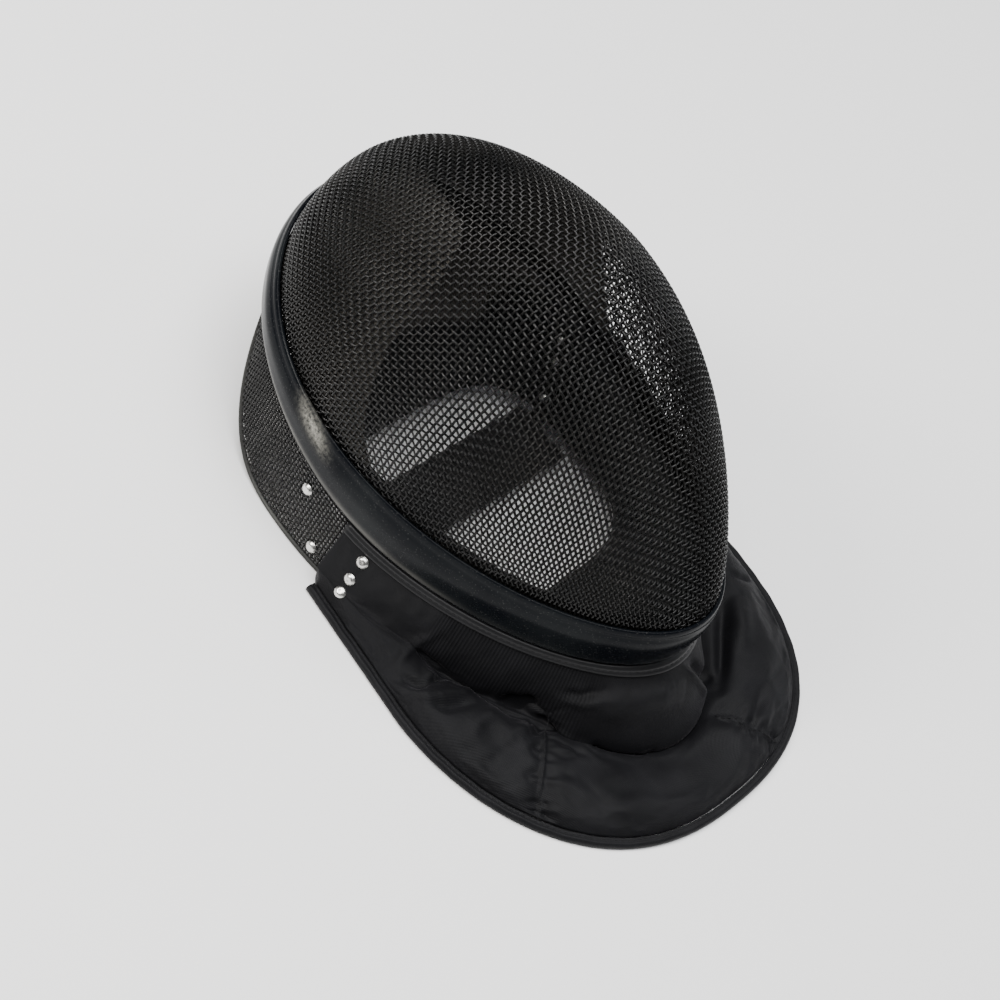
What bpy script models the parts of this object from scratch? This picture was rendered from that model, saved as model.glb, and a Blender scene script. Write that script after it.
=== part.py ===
# Fencing mask lying on its open back, with its bib spread on the table.
# X runs to the wearer's left, Y to the crown, Z up, which is where the face looks.
import math

import bmesh
import bpy
from mathutils import Matrix, Vector

MM = 0.001

# Face mesh: the outline where it meets the trim, and the dome above it
MESH_LENGTH = 296 * MM      # crown to chin along the trim
MESH_WIDTH = 182 * MM       # ear to ear at the trim
MESH_DEPTH = 132 * MM       # trim to the highest point of the dome
MESH_WALL = 1.8 * MM        # two crossed wires thick
MESH_TUCK = 8 * MM          # hidden edge inside the trim
CROWN_WIDENING = 0.189      # the outline is egg shaped, wider at the crown
PEAK_PLACE = 0.06           # share of the half length from the middle to the crown
CROWN_POWER = (1.564, 2.0)  # round profile from the peak to the crown
CHIN_POWER = (2.195, 0.965)  # straighter profile from the peak to the chin
CROSS_POWER = (1.851, 1.874)  # section from ear to ear

# How the mask lies
TRIM_LIFT = 96.8 * MM       # middle of the trim's plane above the table
TRIM_LEAN = math.radians(2.9)
EAR_SAG = 20.4 * MM         # the trim sweeps back at the ears

# Trim: a rubber band round the mesh edge
TRIM_BAND = 33 * MM
TRIM_BAND_CROWN = 21 * MM
TRIM_BULGE = 5.2 * MM
TRIM_LIP = 2.0 * MM
TRIM_LIP_RISE = 0.4 * MM    # lip above the mesh edge
TRIM_NARROWS = (-0.15, 0.75)  # share of the half length between which the band narrows

# Side meshes behind the trim, one at each ear
SIDE_WALL = 1.6 * MM
SIDE_FLARE = 10 * MM        # spread of the rear rim past the trim
SIDE_FLARE_CROWN = 8 * MM
SIDE_FLARE_EASE = (-0.1, 0.4)  # share of the half length between which the flare changes
SIDE_TUCK = 12 * MM         # hidden edge inside the trim
SIDE_KNEE = 1 * MM          # below the trim, where the side mesh starts to flare
SIDE_CROWN_DROP = 3 * MM    # rear rim below the trim at its crown end
SIDE_CLOSING = 3            # power by which the flare closes towards the crown
SIDE_LIFT_START = 0.257     # share of the half length where the rim leaves the table
SIDE_LIFT_POWER = 2.6
RIM_WIRE = 3.0 * MM         # diameter of the bound rear edge

# Bib
BIB_PAD = 4 * MM            # wall of the upright tier
BIB_TOP = 2 * MM            # sewn edge under the trim
BIB_REACH = 25 * MM         # widest part past the mesh's ears, without the bound edge
BIB_END_REACH = 17 * MM     # ends past the mesh's ears
BIB_FRONT_REACH = 72 * MM   # front edge past the mesh's chin
BIB_SIDE = 90 * MM          # from the middle of the mask to where the sides curve in
BIB_END_PLACE = 4 * MM      # from the middle of the mask to the bib's ends
BIB_SWING = 7 * MM          # the front lies this far towards the wearer's left
BIB_CORNER = 2.4            # roundness of the front corners
BIB_STRAIGHT = 0.3          # share of each half that is a straight side
BIB_TURN_EASE = 1.3         # spacing of the sections round the front corners
BIB_END_TAPER = 0.35        # share of each half over which the filling thins to the end
BIB_PUFF = 15 * MM          # height of the filled lower tier
BIB_CREASE = 7 * MM         # height of the seam between the tiers
CREASE_SIDE = 16.5 * MM     # seam's distance from the trim at the ears
CREASE_FRONT = 33 * MM      # and under the chin
CREASE_FRONT_START = 0.55   # share of each half where it starts to move out
BINDING_HEIGHT = 5 * MM
BINDING_WALL = 2.2 * MM
EDGE_WIDTH = 5 * MM
EDGE_HEIGHT = 4.6 * MM

# Lining: a padded funnel from the trim to the head opening
LINING_WALL = 6 * MM
LINING_INSET = 6 * MM
LINING_TOP = 7 * MM         # below the mesh edge
LINING_FOOT = 14 * MM       # lower edge above the table
OPENING_SIDE_INSET = 21 * MM  # opening inside the mesh's ears
OPENING_CROWN_INSET = 100 * MM
OPENING_CHIN_INSET = 72 * MM
OPENING_CORNER = 3.6        # roundness of the opening

# Back strap and the tabs that carry it
STRAP_WIDTH = 40 * MM
STRAP_PLACE = 2 * MM
STRAP_WALL = 2.2 * MM
STRAP_HEIGHT = 8 * MM
TAB_WALL = 1.5 * MM
TAB_TOP = 0.16              # upper end of each tab, as a share of the way down the lining

# Rivets
RIVET_RADIUS = 3.4 * MM
RIVET_DOME = 1.7 * MM
STUD_RADIUS = 2.8 * MM

GAP = 0.35 * MM             # between pieces that touch
MESH_STATIONS = 48
DOME_RINGS = 13
BIB_STATIONS = 40
SIDE_FIRST = 17             # stations of the outline that the side mesh spans
SIDE_LAST = 26
TAB_FIRST = 1               # stations of the lining that carry a tab
TAB_LAST = 2
HALF_LENGTH = MESH_LENGTH / 2
HALF_WIDTH = MESH_WIDTH / 2
BIB_HALF_WIDTH = HALF_WIDTH + BIB_REACH
BIB_END_WIDTH = HALF_WIDTH + BIB_END_REACH
BIB_FRONT = HALF_LENGTH + BIB_FRONT_REACH
OPENING_HALF_WIDTH = HALF_WIDTH - OPENING_SIDE_INSET
OPENING_CROWN = HALF_LENGTH - OPENING_CROWN_INSET
OPENING_CHIN = HALF_LENGTH - OPENING_CHIN_INSET

# Section of the trim from its lip down: share of the bulge, share of the band
TRIM_ROWS = ((0.72, 0.14), (1.0, 0.38), (0.98, 0.66), (0.88, 0.90), (0.62, 1.0))

# Rows of the bib's upright tier: share of the way out to the seam, share of the height
UPPER_TIER = ((0.0, 1.0), (0.30, 0.80), (0.62, 0.50), (0.87, 0.24))
# Rows of the lower tier: share of the way from the seam to the edge, share of the puff
LOWER_TIER = ((0.16, 0.80), (0.45, 1.0), (0.75, 0.86), (0.93, 0.52))
# Rows of the lining: share of the way from the trim to the foot, outward bulge
LINING_ROWS = ((0.0, 0.0), (0.30, 4 * MM), (0.65, 5 * MM), (1.0, 0.0))
# Rivets in each side mesh: share along the side, share of the height
SIDE_RIVETS = (("upper", 0.50, 0.70), ("lower", 0.70, 0.16))
# Rivets along each end of the bib: row of the upright tier
BIB_RIVETS = (("top", 1.12), ("middle", 2.0), ("low", 2.78))
# Studs on each tab: share of the way down the lining
TAB_STUDS = (("top", 0.23), ("middle", 0.47), ("low", 0.84))


def clear_scene():
    for ob in list(bpy.data.objects):
        bpy.data.objects.remove(ob, do_unlink=True)


def collection(name):
    group = bpy.data.collections.new(name)
    bpy.context.scene.collection.children.link(group)
    return group


def material(name, colour, roughness, metallic=0.0):
    mat = bpy.data.materials.new(name)
    mat.use_nodes = True
    shader = mat.node_tree.nodes["Principled BSDF"]
    shader.inputs["Base Color"].default_value = (*colour, 1.0)
    shader.inputs["Roughness"].default_value = roughness
    shader.inputs["Metallic"].default_value = metallic
    mat.diffuse_color = (*colour, 1.0)
    return mat


def smooth(share):
    share = min(max(share, 0.0), 1.0)
    return share * share * (3 - 2 * share)


def ease(value, ends):
    """0 below the first end and 1 above the second, smooth between them."""
    return smooth((value - ends[0]) / (ends[1] - ends[0]))


def mix(a, b, share):
    return a + (b - a) * share


def signed_power(value, power):
    return math.copysign(abs(value) ** power, value)


# The mask's own plane, leaning on the table

def stand(point):
    """From the trim's plane to the table's frame."""
    return Matrix.Rotation(TRIM_LEAN, 3, "X") @ point + Vector((0, 0, TRIM_LIFT))


def outline(angle, out=0.0):
    """Point on the trim's outline in its own plane, moved outward."""
    def bare(turn):
        up = math.sin(turn)
        side = math.cos(turn)
        return Vector((HALF_WIDTH * side * (1 + CROWN_WIDENING * up), HALF_LENGTH * up))
    step = 0.001
    run = (bare(angle + step) - bare(angle - step)).normalized()
    return bare(angle) + Vector((run.y, -run.x)) * out


def outline_height(angle):
    return -EAR_SAG * math.cos(angle) ** 2


def trim_band(angle):
    """Height of the trim, which narrows towards the crown."""
    return mix(TRIM_BAND, TRIM_BAND_CROWN, ease(math.sin(angle), TRIM_NARROWS))


def trim_point(angle, out, down):
    """A point by the trim: outward from the mesh edge, and below it."""
    flat = outline(angle, out)
    return stand(Vector((flat.x, flat.y, outline_height(angle) - down)))


def dome_height(x, y):
    """Height of the face mesh above the trim's plane."""
    along = min(max(y / HALF_LENGTH, -1.0), 1.0)
    half = math.sqrt(1 - along * along)
    width = HALF_WIDTH * half * (1 + CROWN_WIDENING * along)
    side = min(abs(x) / width, 1.0) if width > 1e-9 else 0.0
    if along > PEAK_PLACE:
        share = (along - PEAK_PLACE) / (1 - PEAK_PLACE)
        power = CROWN_POWER
    else:
        share = (PEAK_PLACE - along) / (1 + PEAK_PLACE)
        power = CHIN_POWER
    profile = max(1 - share ** power[0], 0.0) ** (1 / power[1])
    section = max(1 - side ** CROSS_POWER[0], 0.0) ** (1 / CROSS_POWER[1])
    return -EAR_SAG * half * half + MESH_DEPTH * profile * section


# Building closed bodies

def add_object(name, mesh, mat, group):
    ob = bpy.data.objects.new(name, mesh)
    mesh.materials.append(mat)
    group.objects.link(ob)
    return ob


def finish_mesh(bm, name):
    bmesh.ops.recalc_face_normals(bm, faces=bm.faces[:])
    mesh = bpy.data.meshes.new(name)
    bm.to_mesh(mesh)
    bm.free()
    return mesh


def loft(name, sections, closed, mat, group):
    """A closed body through sections that are loops of as many points each."""
    bm = bmesh.new()
    rings = [[bm.verts.new(point) for point in section] for section in sections]
    count = len(rings[0])
    for place in range(len(rings) if closed else len(rings) - 1):
        first = rings[place]
        second = rings[(place + 1) % len(rings)]
        for corner in range(count):
            after = (corner + 1) % count
            bm.faces.new((first[corner], first[after], second[after], second[corner]))
    if not closed:
        bm.faces.new(rings[0])
        bm.faces.new(rings[-1][::-1])
    return add_object(name, finish_mesh(bm, name), mat, group)


# Pieces

def front_mesh(mat, group):
    """The domed face, from the upper half of a sphere laid on the outline."""
    bm = bmesh.new()
    bmesh.ops.create_uvsphere(bm, u_segments=MESH_STATIONS, v_segments=2 * DOME_RINGS, radius=1.0)
    bmesh.ops.bisect_plane(bm, geom=bm.verts[:] + bm.edges[:] + bm.faces[:], dist=1e-5,
                           plane_co=(0, 0, 0), plane_no=(0, 0, 1), clear_inner=True)
    for vert in bm.verts:
        reach = min(math.hypot(vert.co.x, vert.co.y), 1.0)
        angle = math.atan2(vert.co.y, vert.co.x)
        flat = outline(angle) * (0.0 if reach < 1e-6 else reach)
        if vert.co.z < 1e-4:
            height = outline_height(angle)
        else:
            height = dome_height(flat.x, flat.y)
        vert.co = Vector((flat.x, flat.y, height))
    edge = [e for e in bm.edges if e.is_boundary]
    tuck = bmesh.ops.extrude_edge_only(bm, edges=edge)
    for vert in tuck["geom"]:
        if isinstance(vert, bmesh.types.BMVert):
            vert.co.z -= MESH_TUCK
    for vert in bm.verts:
        vert.co = stand(vert.co)
    bmesh.ops.recalc_face_normals(bm, faces=bm.faces[:])
    top = max(bm.faces, key=lambda face: face.calc_center_median().z)
    if top.normal.z < 0:
        bmesh.ops.reverse_faces(bm, faces=bm.faces[:])
    mesh = bpy.data.meshes.new("front_mesh")
    bm.to_mesh(mesh)
    bm.free()
    ob = add_object("front_mesh", mesh, mat, group)
    wall = ob.modifiers.new("wall", "SOLIDIFY")
    wall.thickness = MESH_WALL
    wall.offset = -1.0
    return ob


def trim(mat, group):
    """The rubber band that grips the edge of the face mesh."""
    sections = []
    for place in range(MESH_STATIONS):
        angle = 2 * math.pi * place / MESH_STATIONS
        band = trim_band(angle)
        rows = [(GAP, 0.0), (TRIM_LIP, -TRIM_LIP_RISE)]
        rows += [(TRIM_BULGE * out, band * down) for out, down in TRIM_ROWS]
        rows.append((GAP, band))
        sections.append([trim_point(angle, out, down) for out, down in rows])
    return loft("trim", sections, True, mat, group)


def side_top(place, out):
    angle = 2 * math.pi * place / MESH_STATIONS
    return trim_point(angle, out, trim_band(angle) - SIDE_TUCK)


def side_rim(place, out):
    """Rear rim of the side mesh: on the table at the ear, rising to the crown."""
    angle = 2 * math.pi * place / MESH_STATIONS
    crown = math.sin(2 * math.pi * SIDE_FIRST / MESH_STATIONS)
    lift = max(math.sin(angle) - SIDE_LIFT_START, 0.0) / (crown - SIDE_LIFT_START)
    flare = mix(SIDE_FLARE, SIDE_FLARE_CROWN, ease(math.sin(angle), SIDE_FLARE_EASE))
    low = trim_point(angle, flare * (1 - lift ** SIDE_CLOSING) + out, trim_band(angle))
    low.z = mix(RIM_WIRE + GAP, low.z - SIDE_CROWN_DROP, lift ** SIDE_LIFT_POWER)
    return low


def side_point(place, height, out=0.0):
    """On the side mesh's outer face: height 0 at the rim, 1 at the trim's lower edge."""
    angle = 2 * math.pi * place / MESH_STATIONS
    knee = trim_point(angle, out, trim_band(angle) + SIDE_KNEE)
    return side_rim(place, out).lerp(knee, height)


def mirror(point, side):
    return Vector((point.x * side, point.y, point.z))


def side_mesh(name, side, mat, group):
    sections = []
    for place in range(SIDE_FIRST, SIDE_LAST + 1):
        outer = [side_top(place, 0.0), side_point(place, 1.0), side_point(place, 0.5),
                 side_point(place, 0.0)]
        inner = [side_point(place, 0.0, -SIDE_WALL), side_point(place, 0.5, -SIDE_WALL),
                 side_point(place, 1.0, -SIDE_WALL), side_top(place, -SIDE_WALL)]
        sections.append([mirror(point, -side) for point in outer + inner])
    return loft(name, sections, False, mat, group)


def rim_edge(name, side, mat, group):
    """The bound edge of a side mesh, a closed tube just under it."""
    sections = []
    radius = RIM_WIRE / 2 - GAP / 2
    for place in range(SIDE_FIRST, SIDE_LAST + 1):
        before = side_rim(max(place - 1, SIDE_FIRST), 0.0)
        after = side_rim(min(place + 1, SIDE_LAST), 0.0)
        run = (after - before).normalized()
        rise = side_point(place, 0.5) - side_point(place, 0.0)
        up = (rise - run * rise.dot(run)).normalized()
        out = run.cross(up)
        middle = side_rim(place, -SIDE_WALL / 2) - up * (radius + 2 * GAP)
        ring = []
        for turn in range(8):
            angle = math.pi * (2 * turn + 1) / 8
            ring.append(mirror(middle + (out * math.cos(angle) + up * math.sin(angle)) * radius,
                               -side))
        sections.append(ring)
    return loft(name, sections, False, mat, group)


# Bib: angle runs from the wearer's right, by the chin, to the left

def bib_angle(place):
    return math.pi * (1 + place / BIB_STATIONS)


def bib_share(angle):
    """0 at either end of the bib and 1 under the chin."""
    return 1 - abs(angle - 1.5 * math.pi) / (0.5 * math.pi)


def bib_edge_point(angle):
    """The bib's outer edge on the table."""
    share = bib_share(angle)
    side = 1 if angle > 1.5 * math.pi else -1
    if share < BIB_STRAIGHT:
        along = share / BIB_STRAIGHT
        return Vector((side * mix(BIB_END_WIDTH, BIB_HALF_WIDTH, along),
                       mix(-BIB_END_PLACE, -BIB_SIDE, along)))
    turn = 0.5 * math.pi * ((share - BIB_STRAIGHT) / (1 - BIB_STRAIGHT)) ** BIB_TURN_EASE
    forward = signed_power(math.sin(turn), 2 / BIB_CORNER)
    sideways = side * BIB_HALF_WIDTH * signed_power(math.cos(turn), 2 / BIB_CORNER)
    return Vector((sideways + BIB_SWING * smooth(forward),
                   -BIB_SIDE - (BIB_FRONT - BIB_SIDE) * forward))


def bib_crease(angle):
    """How far the seam between the tiers lies outside the trim."""
    return mix(CREASE_SIDE, CREASE_FRONT, ease(bib_share(angle), (CREASE_FRONT_START, 1.0)))


def bib_upper(angle, row, out):
    """On the upright tier, by its row in the table, which may lie between two rows."""
    place = min(int(row), len(UPPER_TIER) - 2)
    first = Vector(UPPER_TIER[place])
    second = Vector(UPPER_TIER[place + 1])
    way, height = first.lerp(second, row - place)
    top = trim_point(angle, BIB_TOP + GAP + out, trim_band(angle) + GAP)
    seam = trim_point(angle, bib_crease(angle) + out, trim_band(angle))
    point = top.lerp(seam, way)
    point.z = top.z * height
    return point


def bib_seam(angle, out):
    point = trim_point(angle, bib_crease(angle) + out, trim_band(angle))
    point.z = BIB_CREASE
    return point


def bib(mat, group):
    sections = []
    for place in range(BIB_STATIONS + 1):
        angle = bib_angle(place)
        spread = smooth(bib_share(angle) / BIB_END_TAPER)
        seam = bib_seam(angle, 0.0)
        edge = bib_edge_point(angle).to_3d()
        edge.z = EDGE_HEIGHT
        rows = [bib_upper(angle, row, 0.0) for row in range(len(UPPER_TIER))]
        rows.append(seam)
        for way, height in LOWER_TIER:
            point = seam.lerp(edge, way)
            point.z = mix(mix(BIB_CREASE, EDGE_HEIGHT, way), BIB_PUFF * height, spread)
            rows.append(point)
        rows.append(edge)
        under = edge.copy()
        under.z = 0.0
        rows.append(under)
        inner_foot = bib_seam(angle, -BIB_PAD + GAP)
        inner_foot.z = 0.0
        rows.append(inner_foot)
        for row in reversed(range(len(UPPER_TIER))):
            wall = BIB_TOP if row == 0 else BIB_PAD
            rows.append(bib_upper(angle, row, -wall))
        sections.append(rows)
    return loft("bib", sections, False, mat, group)


def bib_binding(mat, group):
    """The sewn band that holds the bib's upper edge under the trim."""
    sections = []
    for place in range(BIB_STATIONS + 1):
        angle = bib_angle(place)
        first, second = UPPER_TIER[0], UPPER_TIER[1]
        drop = (first[1] - second[1]) * bib_upper(angle, 0, 0.0).z
        foot = min(BINDING_HEIGHT / drop, 1.0)
        sections.append([bib_upper(angle, 0, GAP),
                         bib_upper(angle, 0, GAP + BINDING_WALL * 0.7),
                         bib_upper(angle, foot * 0.5, GAP + BINDING_WALL),
                         bib_upper(angle, foot * 0.92, GAP + BINDING_WALL * 0.9),
                         bib_upper(angle, foot, GAP)])
    return loft("bib_binding", sections, False, mat, group)


def bib_edge(mat, group):
    """The bound outer edge, a rounded strip that rests on the table."""
    sections = []
    for place in range(BIB_STATIONS + 1):
        angle = bib_angle(place)
        middle = bib_edge_point(angle)
        step = 0.01
        ahead = bib_edge_point(min(angle + step, bib_angle(BIB_STATIONS)))
        behind = bib_edge_point(max(angle - step, bib_angle(0)))
        run = (ahead - behind).normalized()
        out = Vector((run.y, -run.x))
        ring = []
        for share, height in ((0.0, 0.0), (0.82, 0.0), (1.0, 0.30), (0.92, 0.72), (0.5, 1.0),
                              (0.0, 0.94)):
            flat = middle + out * (GAP + EDGE_WIDTH * share)
            ring.append(Vector((flat.x, flat.y, EDGE_HEIGHT * height)))
        sections.append(ring)
    return loft("bib_edge", sections, False, mat, group)


def lining_point(angle, way, inset, bulge=0.0):
    """On the padded funnel: from the trim, way 0, to the head opening, way 1."""
    top = trim_point(angle, -LINING_INSET - inset, LINING_TOP)
    middle = (OPENING_CROWN - OPENING_CHIN) / 2
    reach = (OPENING_CROWN + OPENING_CHIN) / 2
    power = 2 / OPENING_CORNER
    grown = LINING_WALL - inset
    foot = Vector(((OPENING_HALF_WIDTH + grown) * signed_power(math.cos(angle), power),
                   middle + (reach + grown) * signed_power(math.sin(angle), power),
                   LINING_FOOT))
    point = top.lerp(foot, way)
    out = Vector((point.x, point.y - middle, 0)).normalized()
    return point + out * bulge


def lining(mat, group):
    sections = []
    for place in range(MESH_STATIONS):
        angle = 2 * math.pi * place / MESH_STATIONS
        outer = [lining_point(angle, way, 0.0, bulge) for way, bulge in LINING_ROWS]
        inner = [lining_point(angle, way, LINING_WALL, bulge) for way, bulge in LINING_ROWS]
        sections.append(outer + inner[::-1])
    return loft("lining", sections, True, mat, group)


def tab_point(place, way, inset):
    """On the tab, which lies on the lining's inner face and goes on below it."""
    angle = 2 * math.pi * place / MESH_STATIONS
    shares = [share for share, bulge in LINING_ROWS]
    bulges = [bulge for share, bulge in LINING_ROWS]
    if way > 1:
        point = lining_point(angle, 1.0, LINING_WALL + inset)
        point.z -= (way - 1) * (LINING_FOOT - STRAP_HEIGHT)
        return point
    row = max(i for i, share in enumerate(shares[:-1]) if way >= share)
    part = (way - shares[row]) / (shares[row + 1] - shares[row])
    upper = lining_point(angle, shares[row], LINING_WALL + inset, bulges[row])
    lower = lining_point(angle, shares[row + 1], LINING_WALL + inset, bulges[row + 1])
    return upper.lerp(lower, part)


def strap_tab(name, side, mat, group):
    sections = []
    for way in (TAB_TOP, *[share for share, bulge in LINING_ROWS[1:]], 2.0):
        loop = [tab_point(TAB_FIRST, way, GAP), tab_point(TAB_LAST, way, GAP),
                tab_point(TAB_LAST, way, GAP + TAB_WALL), tab_point(TAB_FIRST, way, GAP + TAB_WALL)]
        sections.append([mirror(point, side) for point in loop])
    return loft(name, sections, False, mat, group)


def back_strap(mat, group):
    """Elastic strap across the head opening, from tab to tab."""
    end = min(tab_point(place, 2.0, GAP * 2 + TAB_WALL).x for place in (TAB_FIRST, TAB_LAST))
    bpy.ops.mesh.primitive_cube_add(size=1)
    ob = bpy.context.active_object
    ob.name = "back_strap"
    ob.data.name = "back_strap"
    ob.scale = (2 * end, STRAP_WIDTH, STRAP_WALL)
    bpy.ops.object.transform_apply(location=False, rotation=False, scale=True)
    ob.location = (0, STRAP_PLACE, STRAP_HEIGHT + STRAP_WALL / 2)
    soften = ob.modifiers.new("soften", "BEVEL")
    soften.width = STRAP_WALL * 0.3
    soften.segments = 1
    ob.data.materials.append(mat)
    for owner in list(ob.users_collection):
        owner.objects.unlink(ob)
    group.objects.link(ob)
    return ob


def rivet(name, point, normal, radius, dome, mat, group):
    """A domed head whose flat side rests on the surface at the point."""
    bm = bmesh.new()
    bmesh.ops.create_uvsphere(bm, u_segments=12, v_segments=8, radius=1.0)
    cut = bmesh.ops.bisect_plane(bm, geom=bm.verts[:] + bm.edges[:] + bm.faces[:], dist=1e-5,
                                 plane_co=(0, 0, 0), plane_no=(0, 0, 1), clear_inner=True)
    rim = [item for item in cut["geom_cut"] if isinstance(item, bmesh.types.BMEdge)]
    bmesh.ops.contextual_create(bm, geom=rim or [e for e in bm.edges if e.is_boundary])
    for vert in bm.verts:
        vert.co = Vector((vert.co.x * radius, vert.co.y * radius, vert.co.z * dome))
    ob = add_object(name, finish_mesh(bm, name), mat, group)
    ob.rotation_mode = "QUATERNION"
    ob.rotation_quaternion = Vector((0, 0, 1)).rotation_difference(normal)
    ob.location = point + normal * GAP
    return ob


def surface_normal(first, second, inside):
    """Unit normal from two directions on a surface, pointing away from a point inside."""
    normal = first.cross(second).normalized()
    return -normal if normal.dot(inside) > 0 else normal


def rivets(mat, group):
    axis = Vector((0, 0, TRIM_LIFT / 2))
    for side, word in ((-1, "right"), (1, "left")):
        for label, along, height in SIDE_RIVETS:
            place = round(mix(SIDE_FIRST, SIDE_LAST, along)) + 0.5
            lower, upper = int(place), int(place) + 1
            spots = [side_point(lower, height).lerp(side_point(upper, height), 0.5)]
            run = side_point(upper, height) - side_point(lower, height)
            rise = side_point(lower, 0.9) - side_point(lower, 0.1)
            normal = surface_normal(run, rise, axis - spots[0])
            rivet("side_rivet_%s_%s" % (label, word), mirror(spots[0], -side),
                  mirror(normal, -side), RIVET_RADIUS, RIVET_DOME, mat, group)
        for label, row in BIB_RIVETS:
            near, far = bib_angle(1), bib_angle(2)
            point = bib_upper(near, row, 0.0).lerp(bib_upper(far, row, 0.0), 0.5)
            run = bib_upper(far, row, 0.0) - bib_upper(near, row, 0.0)
            whole = int(row)
            rise = bib_upper(near, whole, 0.0) - bib_upper(near, whole + 1, 0.0)
            normal = surface_normal(run, rise, axis - point)
            rivet("bib_rivet_%s_%s" % (label, word), mirror(point, -side),
                  mirror(normal, -side), RIVET_RADIUS, RIVET_DOME, mat, group)
        for label, way in TAB_STUDS:
            inset = GAP + TAB_WALL
            first, second = tab_point(TAB_FIRST, way, inset), tab_point(TAB_LAST, way, inset)
            rise = tab_point(TAB_FIRST, way - 0.05, inset) - first
            normal = -surface_normal(second - first, rise, axis - first)
            rivet("tab_stud_%s_%s" % (label, word), mirror(first.lerp(second, 0.5), side),
                  mirror(normal, side), STUD_RADIUS, RIVET_DOME, mat, group)


def centre_on_table(group):
    """Move the mask so that the origin lies under the middle of its box."""
    bpy.context.view_layer.update()
    seen = bpy.context.evaluated_depsgraph_get()
    corners = []
    for ob in group.objects:
        whole = ob.evaluated_get(seen)
        corners += [whole.matrix_world @ Vector(corner) for corner in whole.bound_box]
    low = Vector([min(corner[axis] for corner in corners) for axis in range(3)])
    high = Vector([max(corner[axis] for corner in corners) for axis in range(3)])
    for ob in group.objects:
        ob.location -= Vector(((low.x + high.x) / 2, (low.y + high.y) / 2, low.z))


def build():
    clear_scene()
    group = collection("fencing_mask")
    wire = material("black_wire", (0.02, 0.02, 0.02), 0.35, 0.4)
    rubber = material("black_rubber", (0.012, 0.013, 0.015), 0.28)
    cloth = material("bib_cloth", (0.02, 0.02, 0.023), 0.62)
    binding = material("binding_tape", (0.016, 0.016, 0.018), 0.7)
    padding = material("lining_cloth", (0.035, 0.034, 0.034), 0.85)
    elastic = material("strap_elastic", (0.014, 0.014, 0.015), 0.8)
    steel = material("rivet_steel", (0.75, 0.74, 0.70), 0.25, 1.0)
    front_mesh(wire, group)
    trim(rubber, group)
    for side, word in ((-1, "right"), (1, "left")):
        side_mesh("side_mesh_" + word, side, wire, group)
        rim_edge("rim_edge_" + word, side, rubber, group)
        strap_tab("strap_tab_" + word, side, elastic, group)
    bib(cloth, group)
    bib_binding(binding, group)
    bib_edge(binding, group)
    lining(padding, group)
    back_strap(elastic, group)
    rivets(steel, group)
    centre_on_table(group)


build()
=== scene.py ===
# Fencing mask lying on its open back, seen from the wearer's right over the chin.
import math

import bpy
import numpy as np
from mathutils import Matrix, Vector
from mathutils.bvhtree import BVHTree


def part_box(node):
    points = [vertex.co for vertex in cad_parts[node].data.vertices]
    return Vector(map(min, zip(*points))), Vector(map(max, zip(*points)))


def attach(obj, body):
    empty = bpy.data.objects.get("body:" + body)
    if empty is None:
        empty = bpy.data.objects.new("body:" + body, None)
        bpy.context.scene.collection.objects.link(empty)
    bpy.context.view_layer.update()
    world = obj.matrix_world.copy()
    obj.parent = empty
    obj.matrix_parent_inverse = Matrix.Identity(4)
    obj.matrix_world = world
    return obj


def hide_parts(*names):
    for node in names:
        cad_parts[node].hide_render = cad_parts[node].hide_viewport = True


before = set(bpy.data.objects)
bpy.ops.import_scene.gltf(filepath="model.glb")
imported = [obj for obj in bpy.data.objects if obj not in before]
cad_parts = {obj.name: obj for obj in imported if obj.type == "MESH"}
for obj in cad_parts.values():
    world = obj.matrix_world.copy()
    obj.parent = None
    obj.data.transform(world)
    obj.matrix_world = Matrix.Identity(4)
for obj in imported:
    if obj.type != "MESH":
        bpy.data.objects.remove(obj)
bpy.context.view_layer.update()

MM = 0.001


# The view. A long lens looks down on the mask, rolled so that the crown is at the upper
# left, over a pale table under soft lights. The mask's own middle lies a little off the
# middle of its box, by where the back strap is.
STRAP_PLACE = 2 * MM
strap_low, strap_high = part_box("back_strap")
MIDDLE = (strap_low[1] + strap_high[1]) / 2 - STRAP_PLACE
LENS = 73.21
SENSOR = 36
PHOTO = 1000                # the photograph's width and height
EYE_DISTANCE = 1.03638
EYE_TURN = math.radians(69.673)
EYE_RISE = math.radians(51.592)
EYE_ROLL = math.radians(33.304)
AIM = Vector((-29.08 * MM, MIDDLE - 34.55 * MM, 64.82 * MM))


def set_camera():
    look = Vector((math.cos(EYE_RISE) * math.sin(EYE_TURN),
                   math.cos(EYE_RISE) * math.cos(EYE_TURN), -math.sin(EYE_RISE)))
    data = bpy.data.cameras.new("view")
    data.lens = LENS
    data.sensor_width = SENSOR
    data.clip_start = 0.01
    camera = bpy.data.objects.new("view", data)
    bpy.context.scene.collection.objects.link(camera)
    turned = look.to_track_quat("-Z", "Y").to_matrix() @ Matrix.Rotation(EYE_ROLL, 3, "Z")
    camera.matrix_world = Matrix.Translation(AIM - look * EYE_DISTANCE) @ turned.to_4x4()
    bpy.context.scene.camera = camera


def soft_light(name, place, aim, size, power, colour=(1, 1, 1)):
    data = bpy.data.lights.new(name, "AREA")
    data.shape = "RECTANGLE"
    data.size, data.size_y = size
    data.energy = power
    data.color = colour
    lamp = bpy.data.objects.new(name, data)
    lamp.location = place
    lamp.rotation_euler = (Vector(aim) - Vector(place)).to_track_quat("-Z", "Y").to_euler()
    bpy.context.scene.collection.objects.link(lamp)


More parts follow.
